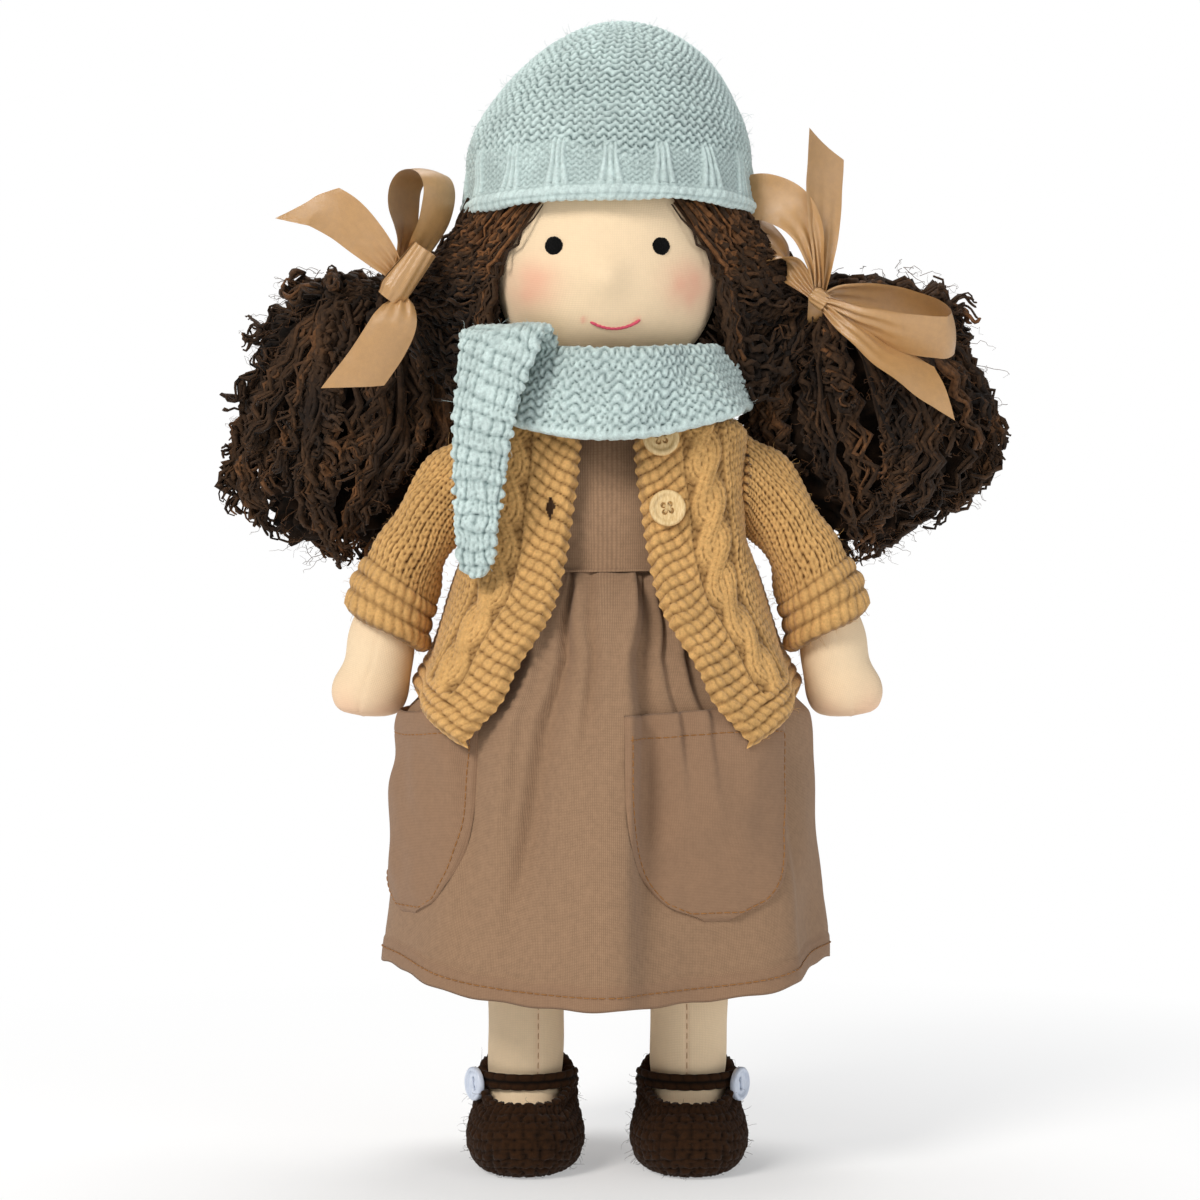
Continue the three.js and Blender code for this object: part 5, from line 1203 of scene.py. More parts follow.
for name, side in SIDES.items():
    mirror, body = [side, 1, 1], name + "_arm"
    points, normals = sleeve_points * mirror, sleeve_normals * mirror
    sleeve = grid_piece(
        name + "_sleeve_knit", raised(points, normals, height, 1.3 + 0.6 * cuff), body, mustard_yarn,
        closed=True, values={"shade_relief": height},
    )
    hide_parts(name + "_sleeve")
    fuzz(name + "_sleeve_fuzz", points[12:], normals[12:], 170, body, mustard_yarn, 46 + side)
    arm = grid_piece(
        name + "_arm_skin", arm_points * mirror, body, jersey, closed=True, uv=arm_uv,
        values={"blush": np.clip(flush, 0, 1)}, ends=(0, -1),
    )
    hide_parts(name + "_arm")
print("sleeves and arms:", len(sleeve.data.polygons), len(arm.data.polygons), "faces each")

# %% [markdown]
# Legs are stuffed columns of jersey that bend forward into the feet, with a stitched seam down the front.

# %% Legs
LEG_SIDE, INSIDE_SHOE, LEG_COLUMNS = 28.5, 2.9, 88
line = np.array([
    (0, 169.8, 0.3), (0, 169, 5), (0, 166, 9.8), (0, 161, 12.9), (0, 156, 14), (0, 120, 13.8), (0, 80, 13.5),
    (0, 50, 13.2), (0, 36, 13.2), (-1.2, 27, 13.4), (-5, 19.5, 13.2), (-11, 14.5, 12.0), (-18, 12.2, 10.5),
    (-25, 11.2, 8.6), (-30.5, 10.7, 6.0), (-33, 10.5, 2.6), (-33.3, 10.4, 0.2),
])
at = run_of(line[:, :2])
steps = np.concatenate([np.linspace(0, 16, 20)[:-1], np.linspace(16, 150, 90)[:-1], np.linspace(150, at[-1], 50)])
back, level, radius = along_columns(at, line, steps).T
slope = np.arctan2(-np.gradient(back, steps), np.maximum(-np.gradient(level, steps), 1e-3))
slope = np.where(steps < 110, 0, slope)[:, None]
leg_angle = turns_of(LEG_COLUMNS)[None]
flat = mix(1, 1.22, smooth(150, 165, steps))[:, None]
across, deep = radius[:, None] * flat * np.sin(leg_angle), -radius[:, None] * np.cos(leg_angle)
leg_points = np.stack([across, back[:, None] + deep * np.cos(slope), level[:, None] - deep * np.sin(slope)], -1)
leg_points[..., 2] = np.maximum(leg_points[..., 2], INSIDE_SHOE)
leg_uv = wrapped_uv(leg_angle, 13.5, -steps[:, None])
print("leg:", leg_points.shape[:2], "points")

# %% [markdown]
# A shoe's outline is the larger of a ball over the toes and a cup round the ankle, blended, and always lies
# outside the bore for the leg. The strap is a crocheted band over the instep.

# %% Shoes
SHOE_MIDDLE, SHOE_ROUND, SHOE_STITCHES = -8.0, 7.0, 30
BALL, CUP, SHARP = (19.7, 28.2), (17.6, 16.8), 9
BORE, BORE_FORWARD = 13.6, 16.2


def toward(angle, wide, deep, centre_y):
    """How far an oval's edge lies from the shoe's middle in a direction: the root of a quadratic."""
    dx, dy = np.sin(angle) / wide, -np.cos(angle) / deep
    off = (SHOE_MIDDLE - centre_y) / deep
    a, b, c = dx**2 + dy**2, dy * off, off**2 - 1
    return (-b + np.sqrt(np.maximum(b * b - a * c, 0))) / a


angle = turns_of(180 // EVERY)[None]
back_share = smooth(-0.35, -0.95, np.cos(angle))
front_share = smooth(0.1, 0.9, np.cos(angle))
rim_z = 28.0 - 3.6 * front_share + 8.6 * back_share
bore = np.maximum(toward(angle, BORE, BORE, 0.0), toward(angle, BORE, BORE_FORWARD, SHOE_MIDDLE))
down = np.linspace(0, 1, 104 // EVERY)[:, None]
z = rim_z * (1 - down)
ball_z = np.clip(1 - ((z - 11.0) / 15.6) ** 2, 0.001, 1) ** 0.5
ball = toward(angle, BALL[0] * ball_z + 0.01, BALL[1] * ball_z + 0.01, -9.0)
ball = np.where(ball_z * BALL[1] > 2, ball, 0)
outer = (np.maximum(ball, 0.1) ** SHARP + toward(angle, *CUP, 0.0) ** SHARP) ** (1 / SHARP)
outer = np.maximum(outer, bore + 0.9) - 1.6 * smooth(3.5, 0, z) ** 2
inside_z = rim_z - np.array([9, 6, 3, 1.0, 0.2])[:, None]
inside_r = bore + np.array([0.2, 0.2, 0.2, 0.3, 0.9])[:, None]
sole_share = np.linspace(0.9, 0.02, 12)[:, None]
radius = np.concatenate([inside_r, outer, outer[-1:] * sole_share])
z = np.concatenate([inside_z, z, np.zeros((len(sole_share), angle.size))])
shoe_points = np.stack([radius * np.sin(angle), SHOE_MIDDLE - radius * np.cos(angle), z], -1)
run = run_of(shoe_points)
rim_row = len(inside_z) - 1
rounds = (run - run[rim_row]) / SHOE_ROUND
wander = 0.1 * waves(shoe_points, 8, 51)
turned, up = angle / FULL_TURN * SHOE_STITCHES + wander, 2 * rounds + 0.5 * wander
above_sole = smooth(0.2, 1.2, z + 0.6)
height = mix(roped(turned, up, 0.2), knit(turned, up), 0.5)
height = height * smooth(-1.5, -0.7, rounds) * above_sole + MID_HEIGHT * (1 - above_sole)
rim_roll = 0.9 * bell((rounds - 0.2) / 0.24)
shoe_normals = outward(shoe_points, True, shoe_points - shoe_points[rim_row:-12].mean(axis=(0, 1)))
shoe_shaped = shoe_points + shoe_normals * (rim_roll + (height - MID_HEIGHT) * 2.2)[..., None]
shoe_shaped[..., 2] = np.maximum(shoe_shaped[..., 2], 0.0)

strap_angle = np.linspace(-1.43, 1.43, 150 // EVERY)[:, None]
ring = turns_of(40)[None]
wide = 17.2 + 1.15 * rounded(np.cos(ring), 0.7)
lift = 30.9 + 3.0 * rounded(np.sin(ring), 0.6)
sag = 0.5 * np.cos(strap_angle * 1.1)
strap_points = np.stack([wide * np.sin(strap_angle), (1.6 - wide) * np.cos(strap_angle), lift - sag], -1)
strap_height = roped(strap_angle * 16.5 / 4.2, (lift - 29.4) / 3.0, 0.2) * (np.cos(ring) > -0.2)
strap_points = strap_points + outward(strap_points, True) * ((strap_height - 0.5) * 1.1)[..., None]
print("shoe:", shoe_points.shape[:2], "points; strap:", strap_points.shape[:2])

# %% [markdown]
# Each side has its own leg with its seam, and the same shoe and strap, mirrored.

# %% Both feet
for name, side in SIDES.items():
    mirror, offset, body = [side, 1, 1], np.array([side * LEG_SIDE, 0, 0]), name + "_leg"
    seam_at = -0.08 if side > 0 else 0.34
    seam = bell((leg_angle - seam_at) / 0.05) + bell((leg_angle - seam_at - FULL_TURN) / 0.05)
    seam = seam * smooth(14, 20, steps)[:, None] * smooth(153, 148, steps)[:, None]
    wrinkle = 0.45 * bell((steps - 146) / 3.2) - 0.35 * bell((steps - 139) / 2.4)
    points = leg_points + offset
    push = 0.3 * waves(points, 26, 52) * smooth(14, 24, steps)[:, None] - 0.45 * seam + wrinkle[:, None]
    points = points + outward(points, True) * push[..., None]
    leg = grid_piece(
        name + "_leg_skin", points, body, jersey, closed=True, uv=leg_uv, values={"blush": 0.1 * seam},
        ends=(0, -1),
    )
    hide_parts(name + "_leg")
    column = int(round(seam_at % FULL_TURN / FULL_TURN * LEG_COLUMNS)) % LEG_COLUMNS
    line = points[(steps > 20) & (steps < 146), column]
    facing = np.tile([0.0, -1.0, 0.0], (len(line), 1))
    sewing(name + "_leg_seam", [(line, facing)], body, 2.4, 1.0, 0.13, 0.2)

    points = shoe_shaped * mirror + offset
    shoe = grid_piece(
        name + "_shoe_crochet", points, body, shoe_yarn, closed=True, values={"shade_relief": height},
        ends=(-1,),
    )
    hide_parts(name + "_shoe")
    points, normals = points[rim_row:-14], (shoe_normals * mirror)[rim_row:-14]
    fuzz(name + "_shoe_fuzz", points, normals, 240, body, shoe_yarn, 56 + side)
    strap = grid_piece(
        name + "_strap_crochet", strap_points * mirror + offset, name + "_strap", shoe_yarn,
        closed=True, values={"shade_relief": strap_height}, ends=(0, -1),
    )
    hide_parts(name + "_shoe_strap")
print("shoe:", len(shoe.data.polygons), "faces; strap:", len(strap.data.polygons))

# %% [markdown]
# Buttons are turned discs with a raised rim, a dished middle and drilled holes, crossed by thread.


# %% Buttons
BUTTON_OUTLINE = np.array([
    (0.001, 0), (0.9, 0), (0.965, 0.1), (1.0, 0.45), (0.985, 0.8), (0.93, 0.98), (0.85, 1.02), (0.77, 0.96),
    (0.68, 0.72), (0.6, 0.64), (0.001, 0.66),
])
BUTTON_THICKNESS, DISH_ROW, COAT_BUTTON, SHOE_BUTTON = 2.2, 32, 6.3, 5.9
STRAP_WIDE, STRAP_DEEP, STRAP_HEIGHT = 18.3, 16.8, 28.8


def button(name, at, out, radius, holes, body, material):
    """A button lying on a surface, its back on at and its face towards out, sewn on with its own colour."""
    out, thickness = unit(np.array(out, float)), BUTTON_THICKNESS
    across = unit(np.cross([0, 0, 1.0], out))
    frame_of = np.stack([across, np.cross(out, across), out])
    outline = BUTTON_OUTLINE
    place = run_of(outline * [radius, thickness])
    at_rows = np.concatenate([np.linspace(0, place[-2], 34)[:-1], np.linspace(place[-2], place[-1], 26)])
    r = radius * np.interp(at_rows, place, outline[:, 0])[:, None]
    h = thickness * np.interp(at_rows, place, outline[:, 1])[:, None]
    angle = turns_of(80)[None]
    x, y, height = r * np.cos(angle), r * np.sin(angle), h
    turn = turns_of(holes) + np.pi / holes + 0.2
    middles = 0.27 * radius * np.stack([np.cos(turn), np.sin(turn)], -1)
    for mx, my in middles:
        pit = smooth(0.165 * radius, 0.12 * radius, np.hypot(x - mx, y - my))
        height = height - 0.6 * thickness * pit * (np.arange(len(at_rows)) > DISH_ROW)[:, None]
    disc = grid_piece(
        name + "_disc", together(x, y, height) @ frame_of + at, body, material, closed=True, ends=(0, -1),
    )
    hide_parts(name)
    run = np.linspace(-0.12, 1.12, 12)
    lift = 0.66 * thickness + 0.22 - 2.2 * np.clip(np.abs(2 * run - 1) - 0.8, 0, 1) * thickness
    paths = []
    for a, b in [(0, 2), (1, 3)] if holes == 4 else [(0, 1)]:
        step = unit(middles[b] - middles[a])
        for shift in (-0.22, 0.22):
            flat = mix(middles[a], middles[b], run[:, None]) + shift * np.array([-step[1], step[0]])
            paths.append(np.column_stack([flat, lift]) @ frame_of + at)
    paths = np.stack(paths)
    tubes_piece(name + "_sewing_thread", paths, np.full(paths.shape[:2], 0.2), body, material, 6)


for name, x, z in (("upper_button", 18.1, 251.8), ("lower_button", 20.2, 228.0)):
    at, out = front_of_cardigan(x, z)
    button(name, at + out * 0.6, out, COAT_BUTTON, 4, "torso", wood)
for name, side in SIDES.items():
    turn = side * 1.08
    x, y = STRAP_WIDE * np.sin(turn), -STRAP_DEEP * np.cos(turn)
    out = unit(np.array([x / STRAP_WIDE**2, y / STRAP_DEEP**2, 0]))
    at = np.array([x + side * LEG_SIDE, y, STRAP_HEIGHT]) + 0.7 * out
    button(name + "_shoe_button", at, out, SHOE_BUTTON, 2, name + "_strap", pearl)
print("buttons done")

# %% [markdown]
# The hair is mohair yarn. Over a dark lumpy base lie crimped locks of four kinds: those that flow from under
# the hat to the hair ties, those that sag behind the face, those that hang at the temples, and, under the hat,
# those of the crown, which part in the middle. Neighbours crimp alike, in bundles.

# %% Hair over the head
HAIR_OPENING = [(0, 1.02), (0.4, 1), (0.72, 0.875), (1, 0.6), (1.35, 0.15)]
HAIR_MIDDLE, HAIR_HEIGHT, HAIR_OVER_WIDE, HAIR_OVER_DEEP = 2, 109, 9.5, 4.7
OPENING_BASE, OPENING_HEIGHT = 287, 46


def hair_section(z):
    """Half the hair's width and depth at a height: the head's own, stretched upwards and made larger."""
    share = along(HEAD_SHARES, (z - HEAD_BASE) / HAIR_HEIGHT)
    return HEAD_WIDE * share + HAIR_OVER_WIDE, HEAD_DEEP * share + HAIR_OVER_DEEP


def on_cap(angle, level, inside_lift, lift):
    """A point of the hair's base, which dips under the skin of the face, with 1 where it lies over the head."""
    share = along(HEAD_SHARES, (level - HEAD_BASE) / HEAD_HEIGHT)
    outer_wide, outer_deep = hair_section(level)
    wide, deep = HEAD_WIDE * share, HEAD_DEEP * share
    opening = HEAD_WIDE * along(HAIR_OPENING, (level - OPENING_BASE) / OPENING_HEIGHT)
    behind = np.maximum(np.abs(wide * np.sin(angle)) - opening + 1.5, 8 - deep * np.cos(angle))
    outside = smooth(0.5, 10, behind) * smooth(283, 290, level)
    wide = mix(wide + inside_lift, outer_wide - 1.6 + lift, outside)
    deep = mix(deep + inside_lift, outer_deep - 1.2 + lift, outside)
    return together(wide * np.sin(angle), HAIR_MIDDLE * outside - deep * np.cos(angle), level), outside


level = np.linspace(284.5, 383.5, 90)[:, None]
angle = turns_of(140)[None]
points, outside = on_cap(angle, level, -1.8, 0.0)
points += outward(points, True) * (1.1 * waves(points, 9, 61) * outside)[..., None]
cap = grid_piece(
    "hair_base", points, "head", hair_base, closed=True, ends=(0, -1),
    values={"shade_relief": 0.3 + 0.4 * outside},
)
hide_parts("hair_cap")
print("hair base:", len(cap.data.polygons), "faces")

# %% [markdown]
# A lock is a path with the crimp of unravelled yarn, thinner at both ends.


# %% Locks
def crimped(paths, size, wavelength, seed, start=0.12, bundle=1):
    """Paths given the crimp of unravelled yarn: each bundle of them swings in its own rhythm, fading in."""
    draw = np.random.default_rng(seed)
    count, steps = paths.shape[:2]
    bundles = -(-count // bundle)

    def drawn(low, high):
        return np.repeat(draw.uniform(low, high, bundles), bundle)[:count, None]

    heading = unit(np.gradient(paths, axis=1))
    first = unit(np.cross(heading, [0.2, 0.9, 0.4]))
    second = np.cross(heading, first)
    length = run_of(paths, 1)
    wave = length / (wavelength * drawn(0.75, 1.35)) * FULL_TURN + drawn(0, 6.3)
    amount = size * drawn(0.5, 1.4) * smooth(0, start, np.linspace(0, 1, steps))[None]
    swing = amount[..., None] * (np.cos(wave)[..., None] * first + np.sin(wave * 1.1 + 1)[..., None] * second)
    return paths + swing


def tapered(count, steps, radius, seed, wave=2.2):
    """Radii of locks that are nubbly along their length and thin at both ends."""
    draw = np.random.default_rng(seed)
    t = np.linspace(0, 1, steps)[None]
    own = radius * draw.uniform(0.65, 1.35, (count, 1))
    nubs = 1 + 0.3 * np.sin(t * steps / wave + draw.uniform(0, 6.3, (count, 1)))
    return own * nubs * (0.25 + 0.75 * np.sin(np.pi * np.clip(t * 0.94 + 0.05, 0, 1)) ** 0.5)


def hug(paths, lift):
    """Paths pushed out to the surface of the hair wherever they would dip under it."""
    wide, deep = hair_section(np.clip(paths[..., 2], 284, 372))
    x, y = paths[..., 0], paths[..., 1] - HAIR_MIDDLE
    scale = 1 / np.clip(np.hypot(x / (wide + lift), y / (deep + lift)), 0.3, 1)
    return np.stack([x * scale, y * scale + HAIR_MIDDLE, paths[..., 2]], -1)


def locks_piece(name, paths, radii, body, tone):
    """Locks of hair as three-sided tubes; tone, 0 to 1, is how light each point is."""
    tone = np.broadcast_to(np.clip(tone, 0, 1), radii.shape)
    return tubes_piece(name, paths, radii, body, hair_material, 3, {"tone": tone})


print("radii along a lock:", tapered(1, 5, 1.0, 0).round(2).tolist())

# %% [markdown]
# The first kind runs on curves from under the hat to the tie and hugs the head. The sagging locks hang low
# behind the face, and the temple locks fall beside it.

# %% Locks over the head
draw = np.random.default_rng(71)
COUNT, STEPS = 700 // EVERY, 24
kind = draw.uniform(0, 1, COUNT)
under_hat, at_side = kind < 0.62, kind < 0.8
front = 0.5 + 2.85 * draw.uniform(0, 1, COUNT) ** 1.1
sides, behind = draw.uniform([[1.25], [1.7]], [[1.7], [3.3]], (2, COUNT))
theta = np.where(under_hat, front, np.where(at_side, sides, behind))
start_z = draw.uniform([[331], [291], [287]], [[337], [330], [330]], (3, COUNT))
start_z = np.where(under_hat, start_z[0], np.where(at_side, start_z[1], start_z[2]))
wide, deep = hair_section(start_z)
edge = smooth(1.1, 0.5, theta) * under_hat
shrink = 1 - 0.14 * edge
starts = np.stack([wide * shrink * np.sin(theta), HAIR_MIDDLE - deep * shrink * np.cos(theta), start_z], -1)
away = starts[:, 1:] - TIE[1:]
away /= np.maximum(np.linalg.norm(away, axis=1, keepdims=True), 1)
ends = TIE + np.concatenate([np.zeros((COUNT, 1)), 2.6 * draw.normal(0, 1, (COUNT, 2))], 1)
second = ends + np.stack([-draw.uniform(12, 22, COUNT), away[:, 0] * 11, away[:, 1] * 12], -1)
sink = draw.uniform(6, 20, COUNT) * (0.4 + edge)
first = starts + 0.4 * (ends - starts)
first[:, 2] -= sink * (start_z > 315)
paths = bezier(starts, first, second, ends, STEPS)
paths = hug(paths, draw.uniform(-1.4, 2.6, COUNT)[:, None] - 5.0 * edge[:, None])
paths = crimped(crimped(paths, 1.1, 8.5, 72, bundle=4), 0.45, 5.5, 70)
run = np.linspace(0, 1, STEPS)[None]
tone = 0.34 + 0.4 * bell((theta - 0.75) / 0.4)[:, None] * smooth(0.7, 0.1, run) + draw.normal(0, 0.14, (COUNT, 1))
tone = tone + 0.1 * np.sin(9 * run + draw.uniform(0, 6.3, (COUNT, 1)))
thick = tapered(COUNT, STEPS, 0.95, 73)
SAGS = 230 // EVERY
theta, start_z = draw.uniform(1.1, 2.5, SAGS), draw.uniform(284, 306, SAGS)
wide, deep = hair_section(start_z)
starts = np.stack([wide * 0.9 * np.sin(theta), HAIR_MIDDLE - deep * 0.9 * np.cos(theta), start_z], -1)
ends = TIE + draw.normal(0, 2.4, (SAGS, 3)) * [0.4, 1, 1]
low = np.stack([draw.uniform(46, 60, SAGS), draw.uniform(-2, 26, SAGS), draw.uniform(252, 297, SAGS)], -1)
sagging = bezier(starts, mix(starts, low, 0.9), mix(ends, low, 0.9), ends, STEPS)
sagging = crimped(crimped(sagging, 1.3, 8.5, 74, bundle=3), 0.5, 5.5, 75)
TEMPLES = 120 // EVERY
near = draw.uniform(0, 1, (TEMPLES, 1))
shift = draw.normal(0, 1.3, (TEMPLES, 3)) * [0.5, 1, 1.5]
INNER = np.array([(26, -25, 336), (37.5, -21, 322), (42, -14, 300), (43, -3, 272)])
OUTER = np.array([(9, 8, 0), (3, 7, 0), (4, 8, 0), (12, 16, 0)])
corners = (inner + near * outer + shift for inner, outer in zip(INNER, OUTER))
temple = crimped(crimped(bezier(*corners, STEPS), 0.9, 8.0, 77, bundle=3), 0.4, 5.0, 78)
paths = np.concatenate([paths, sagging, temple])
sag_tone = np.repeat(draw.normal(0.26, 0.12, (SAGS, 1)), STEPS, 1)
tone = np.concatenate([tone, sag_tone, draw.normal(0.42, 0.12, (TEMPLES, 1)) + 0.3 * smooth(0.5, 0, run)])
thick = np.concatenate([thick, tapered(SAGS, STEPS, 1.1, 76), tapered(TEMPLES, STEPS, 0.85, 79)])

# The crown's locks go round the dome from the parting: each point is a direction, laid on the hair's base.
CROWN, CROWN_SPAN, CROWN_BASE, CROWN_RISE = 210 // EVERY, (0.32, 2.95), 334.5, 48.2
parting = draw.uniform(*CROWN_SPAN, CROWN)[:, None]
end_turn = np.interp(parting, CROWN_SPAN, (0.62, 3.1)) + draw.normal(0, 0.05, (CROWN, 1))
t = np.linspace(0, 1, 15)[None]
t = mix(t, smooth(0, 1, t), 0.7)
toward_x, toward_y = mix(0.03, np.sin(end_turn), t), mix(-np.cos(parting), -np.cos(end_turn), t)
toward_z = mix(np.sin(parting), 0, t)
toward_z = toward_z / np.sqrt(toward_x**2 + toward_y**2 + toward_z**2)
crown_paths, _ = on_cap(np.arctan2(toward_x, -toward_y), CROWN_BASE + CROWN_RISE * toward_z, 0.7, 0.5)
crown_paths = crimped(crown_paths, 0.35, 7.5, 83, bundle=2)
crown_thick, crown_tone = tapered(CROWN, 15, 1.0, 84), draw.normal(0.36, 0.12, (CROWN, 1))
for name, side in SIDES.items():
    locks_piece(name + "_crown_locks", crown_paths * [side, 1, 1], crown_thick, "head", crown_tone)
    locks_piece(name + "_head_locks", paths * [side, 1, 1], thick, "head", tone)
print("locks over the head:", len(paths), "a side")

# %% [markdown]
# Each bunch is an upright oval whose outer, inner, front and back edges are tables of shares. Bundles of locks
# leave the tie, spread over that oval and flick out at their ends, with a haze of fine hairs round them.

# %% Loose hair
PIGTAIL = {
    "left": [
        (0, 0.66), (0.07, 0.74), (0.2, 0.88), (0.3, 0.97), (0.47, 0.985), (0.58, 0.965), (0.75, 0.925), (0.88, 0.87),
        (0.95, 0.82), (1, 0.72),
    ],
    "right": [
        (0, 0.7), (0.05, 0.78), (0.135, 0.875), (0.268, 0.94), (0.4, 0.935), (0.534, 0.92), (0.667, 0.89), (0.8, 0.865),
        (0.935, 0.79), (1, 0.7),
    ],
    "inner": [
        (0, 0.63), (0.065, 0.57), (0.178, 0.47), (0.3, 0.386), (0.43, 0.357), (0.55, 0.37), (0.64, 0.385), (0.7, 0.4),
        (0.785, 0.43), (0.94, 0.52), (1, 0.64),
    ],
    "front": [
        (0, 0.32), (0.13, 0.12), (0.27, 0), (0.55, -0.04), (0.75, -0.02), (0.83, 0.02), (0.89, 0.04), (0.945, 0.12),
        (1, 0.28),
    ],
    "back": [(0, 0.6), (0.13, 0.84), (0.32, 1), (0.55, 1), (0.74, 0.88), (0.88, 0.72), (1, 0.48)],
}


PIGTAIL_REACH, PIGTAIL_DEPTH, PIGTAIL_BASE, PIGTAIL_HEIGHT = 140, 50, 211, 107


def on_pigtail(name, share, angle, out=0.0):
    """A point of a bunch, laid on the doll's left: share is its height, and angle 0 faces the front."""
    outer, inner = (PIGTAIL_REACH * along(PIGTAIL[edge], share) for edge in (name, "inner"))
    front, back = (PIGTAIL_DEPTH * along(PIGTAIL[edge], share) for edge in ("front", "back"))
    x, y = on_oval(angle, (outer - inner) / 2 + out, (back - front) / 2 + out, 2.3)
    return together(x + (outer + inner) / 2, y + (front + back) / 2, PIGTAIL_BASE + PIGTAIL_HEIGHT * share)


def bunch_core(name):
    """The dark lumpy middle of a bunch, well inside its locks."""
    level = 0.08 + 0.72 * (1 - np.cos(np.linspace(0.05, 0.95, 70) * np.pi))[:, None] / 2
    points = on_pigtail(name, level, turns_of(90)[None], -8.5)
    lumps = 1.5 * waves(points, 7, 81) + 1.6 * waves(points, 20, 82)
    points = points + outward(points, True) * lumps[..., None]
    ends = [mix(points[at].mean(0), points[at], 0.4)[None] for at in (0, -1)]
    return np.concatenate([ends[0], points, ends[1]])


BUNDLE = 5
COUNT, STEPS, WISPS = 890 // EVERY, 30, 500 // EVERY
for name, side in SIDES.items():
    mirror, body = [side, 1, 1], name + "_pigtail"
    core_points = bunch_core(name)
    core = grid_piece(
        name + "_bunch_base", core_points * mirror, body, hair_base, closed=True, ends=(0, -1),
        values={"shade_relief": np.clip(0.45 + 0.3 * waves(core_points, 5, 84), 0, 1)},
    )
    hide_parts(name + "_pigtail")
    draw = np.random.default_rng(91 + side)
    clumps = COUNT // BUNDLE
    low = draw.uniform(0, 1, clumps)
    target = np.where(low < 0.62, draw.uniform(0.0, 0.4, clumps), draw.uniform(0.15, 0.97, clumps))
    bearing = draw.permutation(clumps) / clumps * FULL_TURN + draw.uniform(-0.1, 0.1, clumps)
    depth = draw.uniform(-5.0, 1.0, clumps)
    flick = 8.5 * draw.uniform(0, 1, clumps) ** 2.2
    target, bearing, depth, flick = (np.repeat(v, BUNDLE)[:, None] for v in (target, bearing, depth, flick))
    t = np.linspace(0, 1, STEPS)[None]
    turned = bearing + 0.2 * np.sin(3 * t + 5 * bearing)
    rise = 0.88 + 0.1 * np.sin(np.pi * np.clip(t * 1.9, 0, 1)) * draw.uniform(0.4, 1.1, (COUNT, 1))
    share = np.clip(mix(rise, target + draw.normal(0, 0.02, (COUNT, 1)), smooth(0.1, 1.0, t) ** 0.9), -0.02, 0.99)
    surface = on_pigtail(name, share, turned, depth + flick * smooth(0.62, 1, t))
    tie = TIE + np.array([2.0, 0, 0]) + np.concatenate([np.zeros((COUNT, 1)), draw.normal(0, 2.2, (COUNT, 2))], 1)
    reach = (smooth(0, 0.62, t) ** 0.75)[..., None]
    locks = tie[:, None] * (1 - reach) + (surface + draw.normal(0, 0.75, (COUNT, 1, 3))) * reach
    locks = crimped(crimped(locks, 1.9, 9.5, 92 + side, 0.3, BUNDLE), 0.45, 6.0, 96 + side)
    # Painted shade: locks that lie deeper in the bunch, with a lower depth, are darker. The tone also rises towards the
    # ends of the locks.
    tone = 0.36 + draw.normal(0, 0.1, (COUNT, 1)) + 0.1 * waves(locks, 20, 93) + 0.12 * t + 0.045 * depth
    bunch = locks_piece(name + "_bunch_locks", locks * mirror, tapered(COUNT, STEPS, 1.0, 94 + side), body, tone)
    share, bearing = draw.uniform(0.02, 0.98, WISPS), draw.uniform(0, FULL_TURN, WISPS)
    root = on_pigtail(name, share, bearing, -1.5)
    out = on_pigtail(name, share, bearing, 5.5) - root
    out[:, 2] -= draw.uniform(0, 6, WISPS)
    out += draw.normal(0, 3.0, (WISPS, 3))
    out *= draw.uniform(0.4, 1.05, (WISPS, 1))
    bend = draw.normal(0, 3.0, (WISPS, 3))
    hairs = bezier(root, root + 0.4 * out + bend, root + out + bend, root + out, 9)
    fine = np.full((WISPS, 9), 0.11) * np.linspace(1.2, 0.35, 9)[None]
    locks_piece(name + "_bunch_wisps", crimped(hairs, 0.8, 4.5, 95 + side, 0.3) * mirror, fine, body, 0.65)
print("loose hair:", len(bunch.data.polygons), "faces a side in the locks")

# %% [markdown]
# The bows are tied from satin ribbon 16.5 mm wide. Each strip is a table: its rows hold a place from the knot,
# the direction of the strip's width there, and half its width. Before the table stand the strip's flat length
# in metres and, for the ends, how far their cut slants.


# %% Bows
RIBBON_WIDTH, HALF_RIBBON, BAND_RADIUS = 0.0165, 8.2, 10.0


def ribbon(name, knot, rows, cut, steps, curl=1.1):
    """A strip of ribbon through the rows of its table."""
    table = np.array(rows, float)
    at = run_of(table[:, :3])
    column = np.linspace(-1, 1, 19)[None]
    place = np.linspace(0, 1, steps)[:, None]
    place = place * (at[-1] + cut * column * place**3)
    line = along_columns(at, table, place)
    over = (place - at[-1])[..., None]
    line[..., :3] += np.maximum(over, 0) * unit(table[-1, :3] - table[-2, :3])
    heading = unit(np.gradient(line[..., :3], axis=0))
    across = square_to(heading, line[..., 3:6])
    face = np.cross(heading, across)
    half = line[..., 6]
    pinch = np.clip(1 - half / HALF_RIBBON, 0, 1)
    folds = pinch * 1.5 * np.sin(3.2 * np.pi * column + 0.6)
    selvedge = 0.12 * (np.abs(column) > 0.93)
    bend = curl * (1 - column**2) + folds + selvedge + 0.25 * waves(line[..., :3], 14, 97)
    points = knot + line[..., :3] + across * (half * column)[..., None] + face * bend[..., None]
    uv = together(HALF_RIBBON * column, place)
    return grid_piece(name, points, "head", satin, uv=uv)


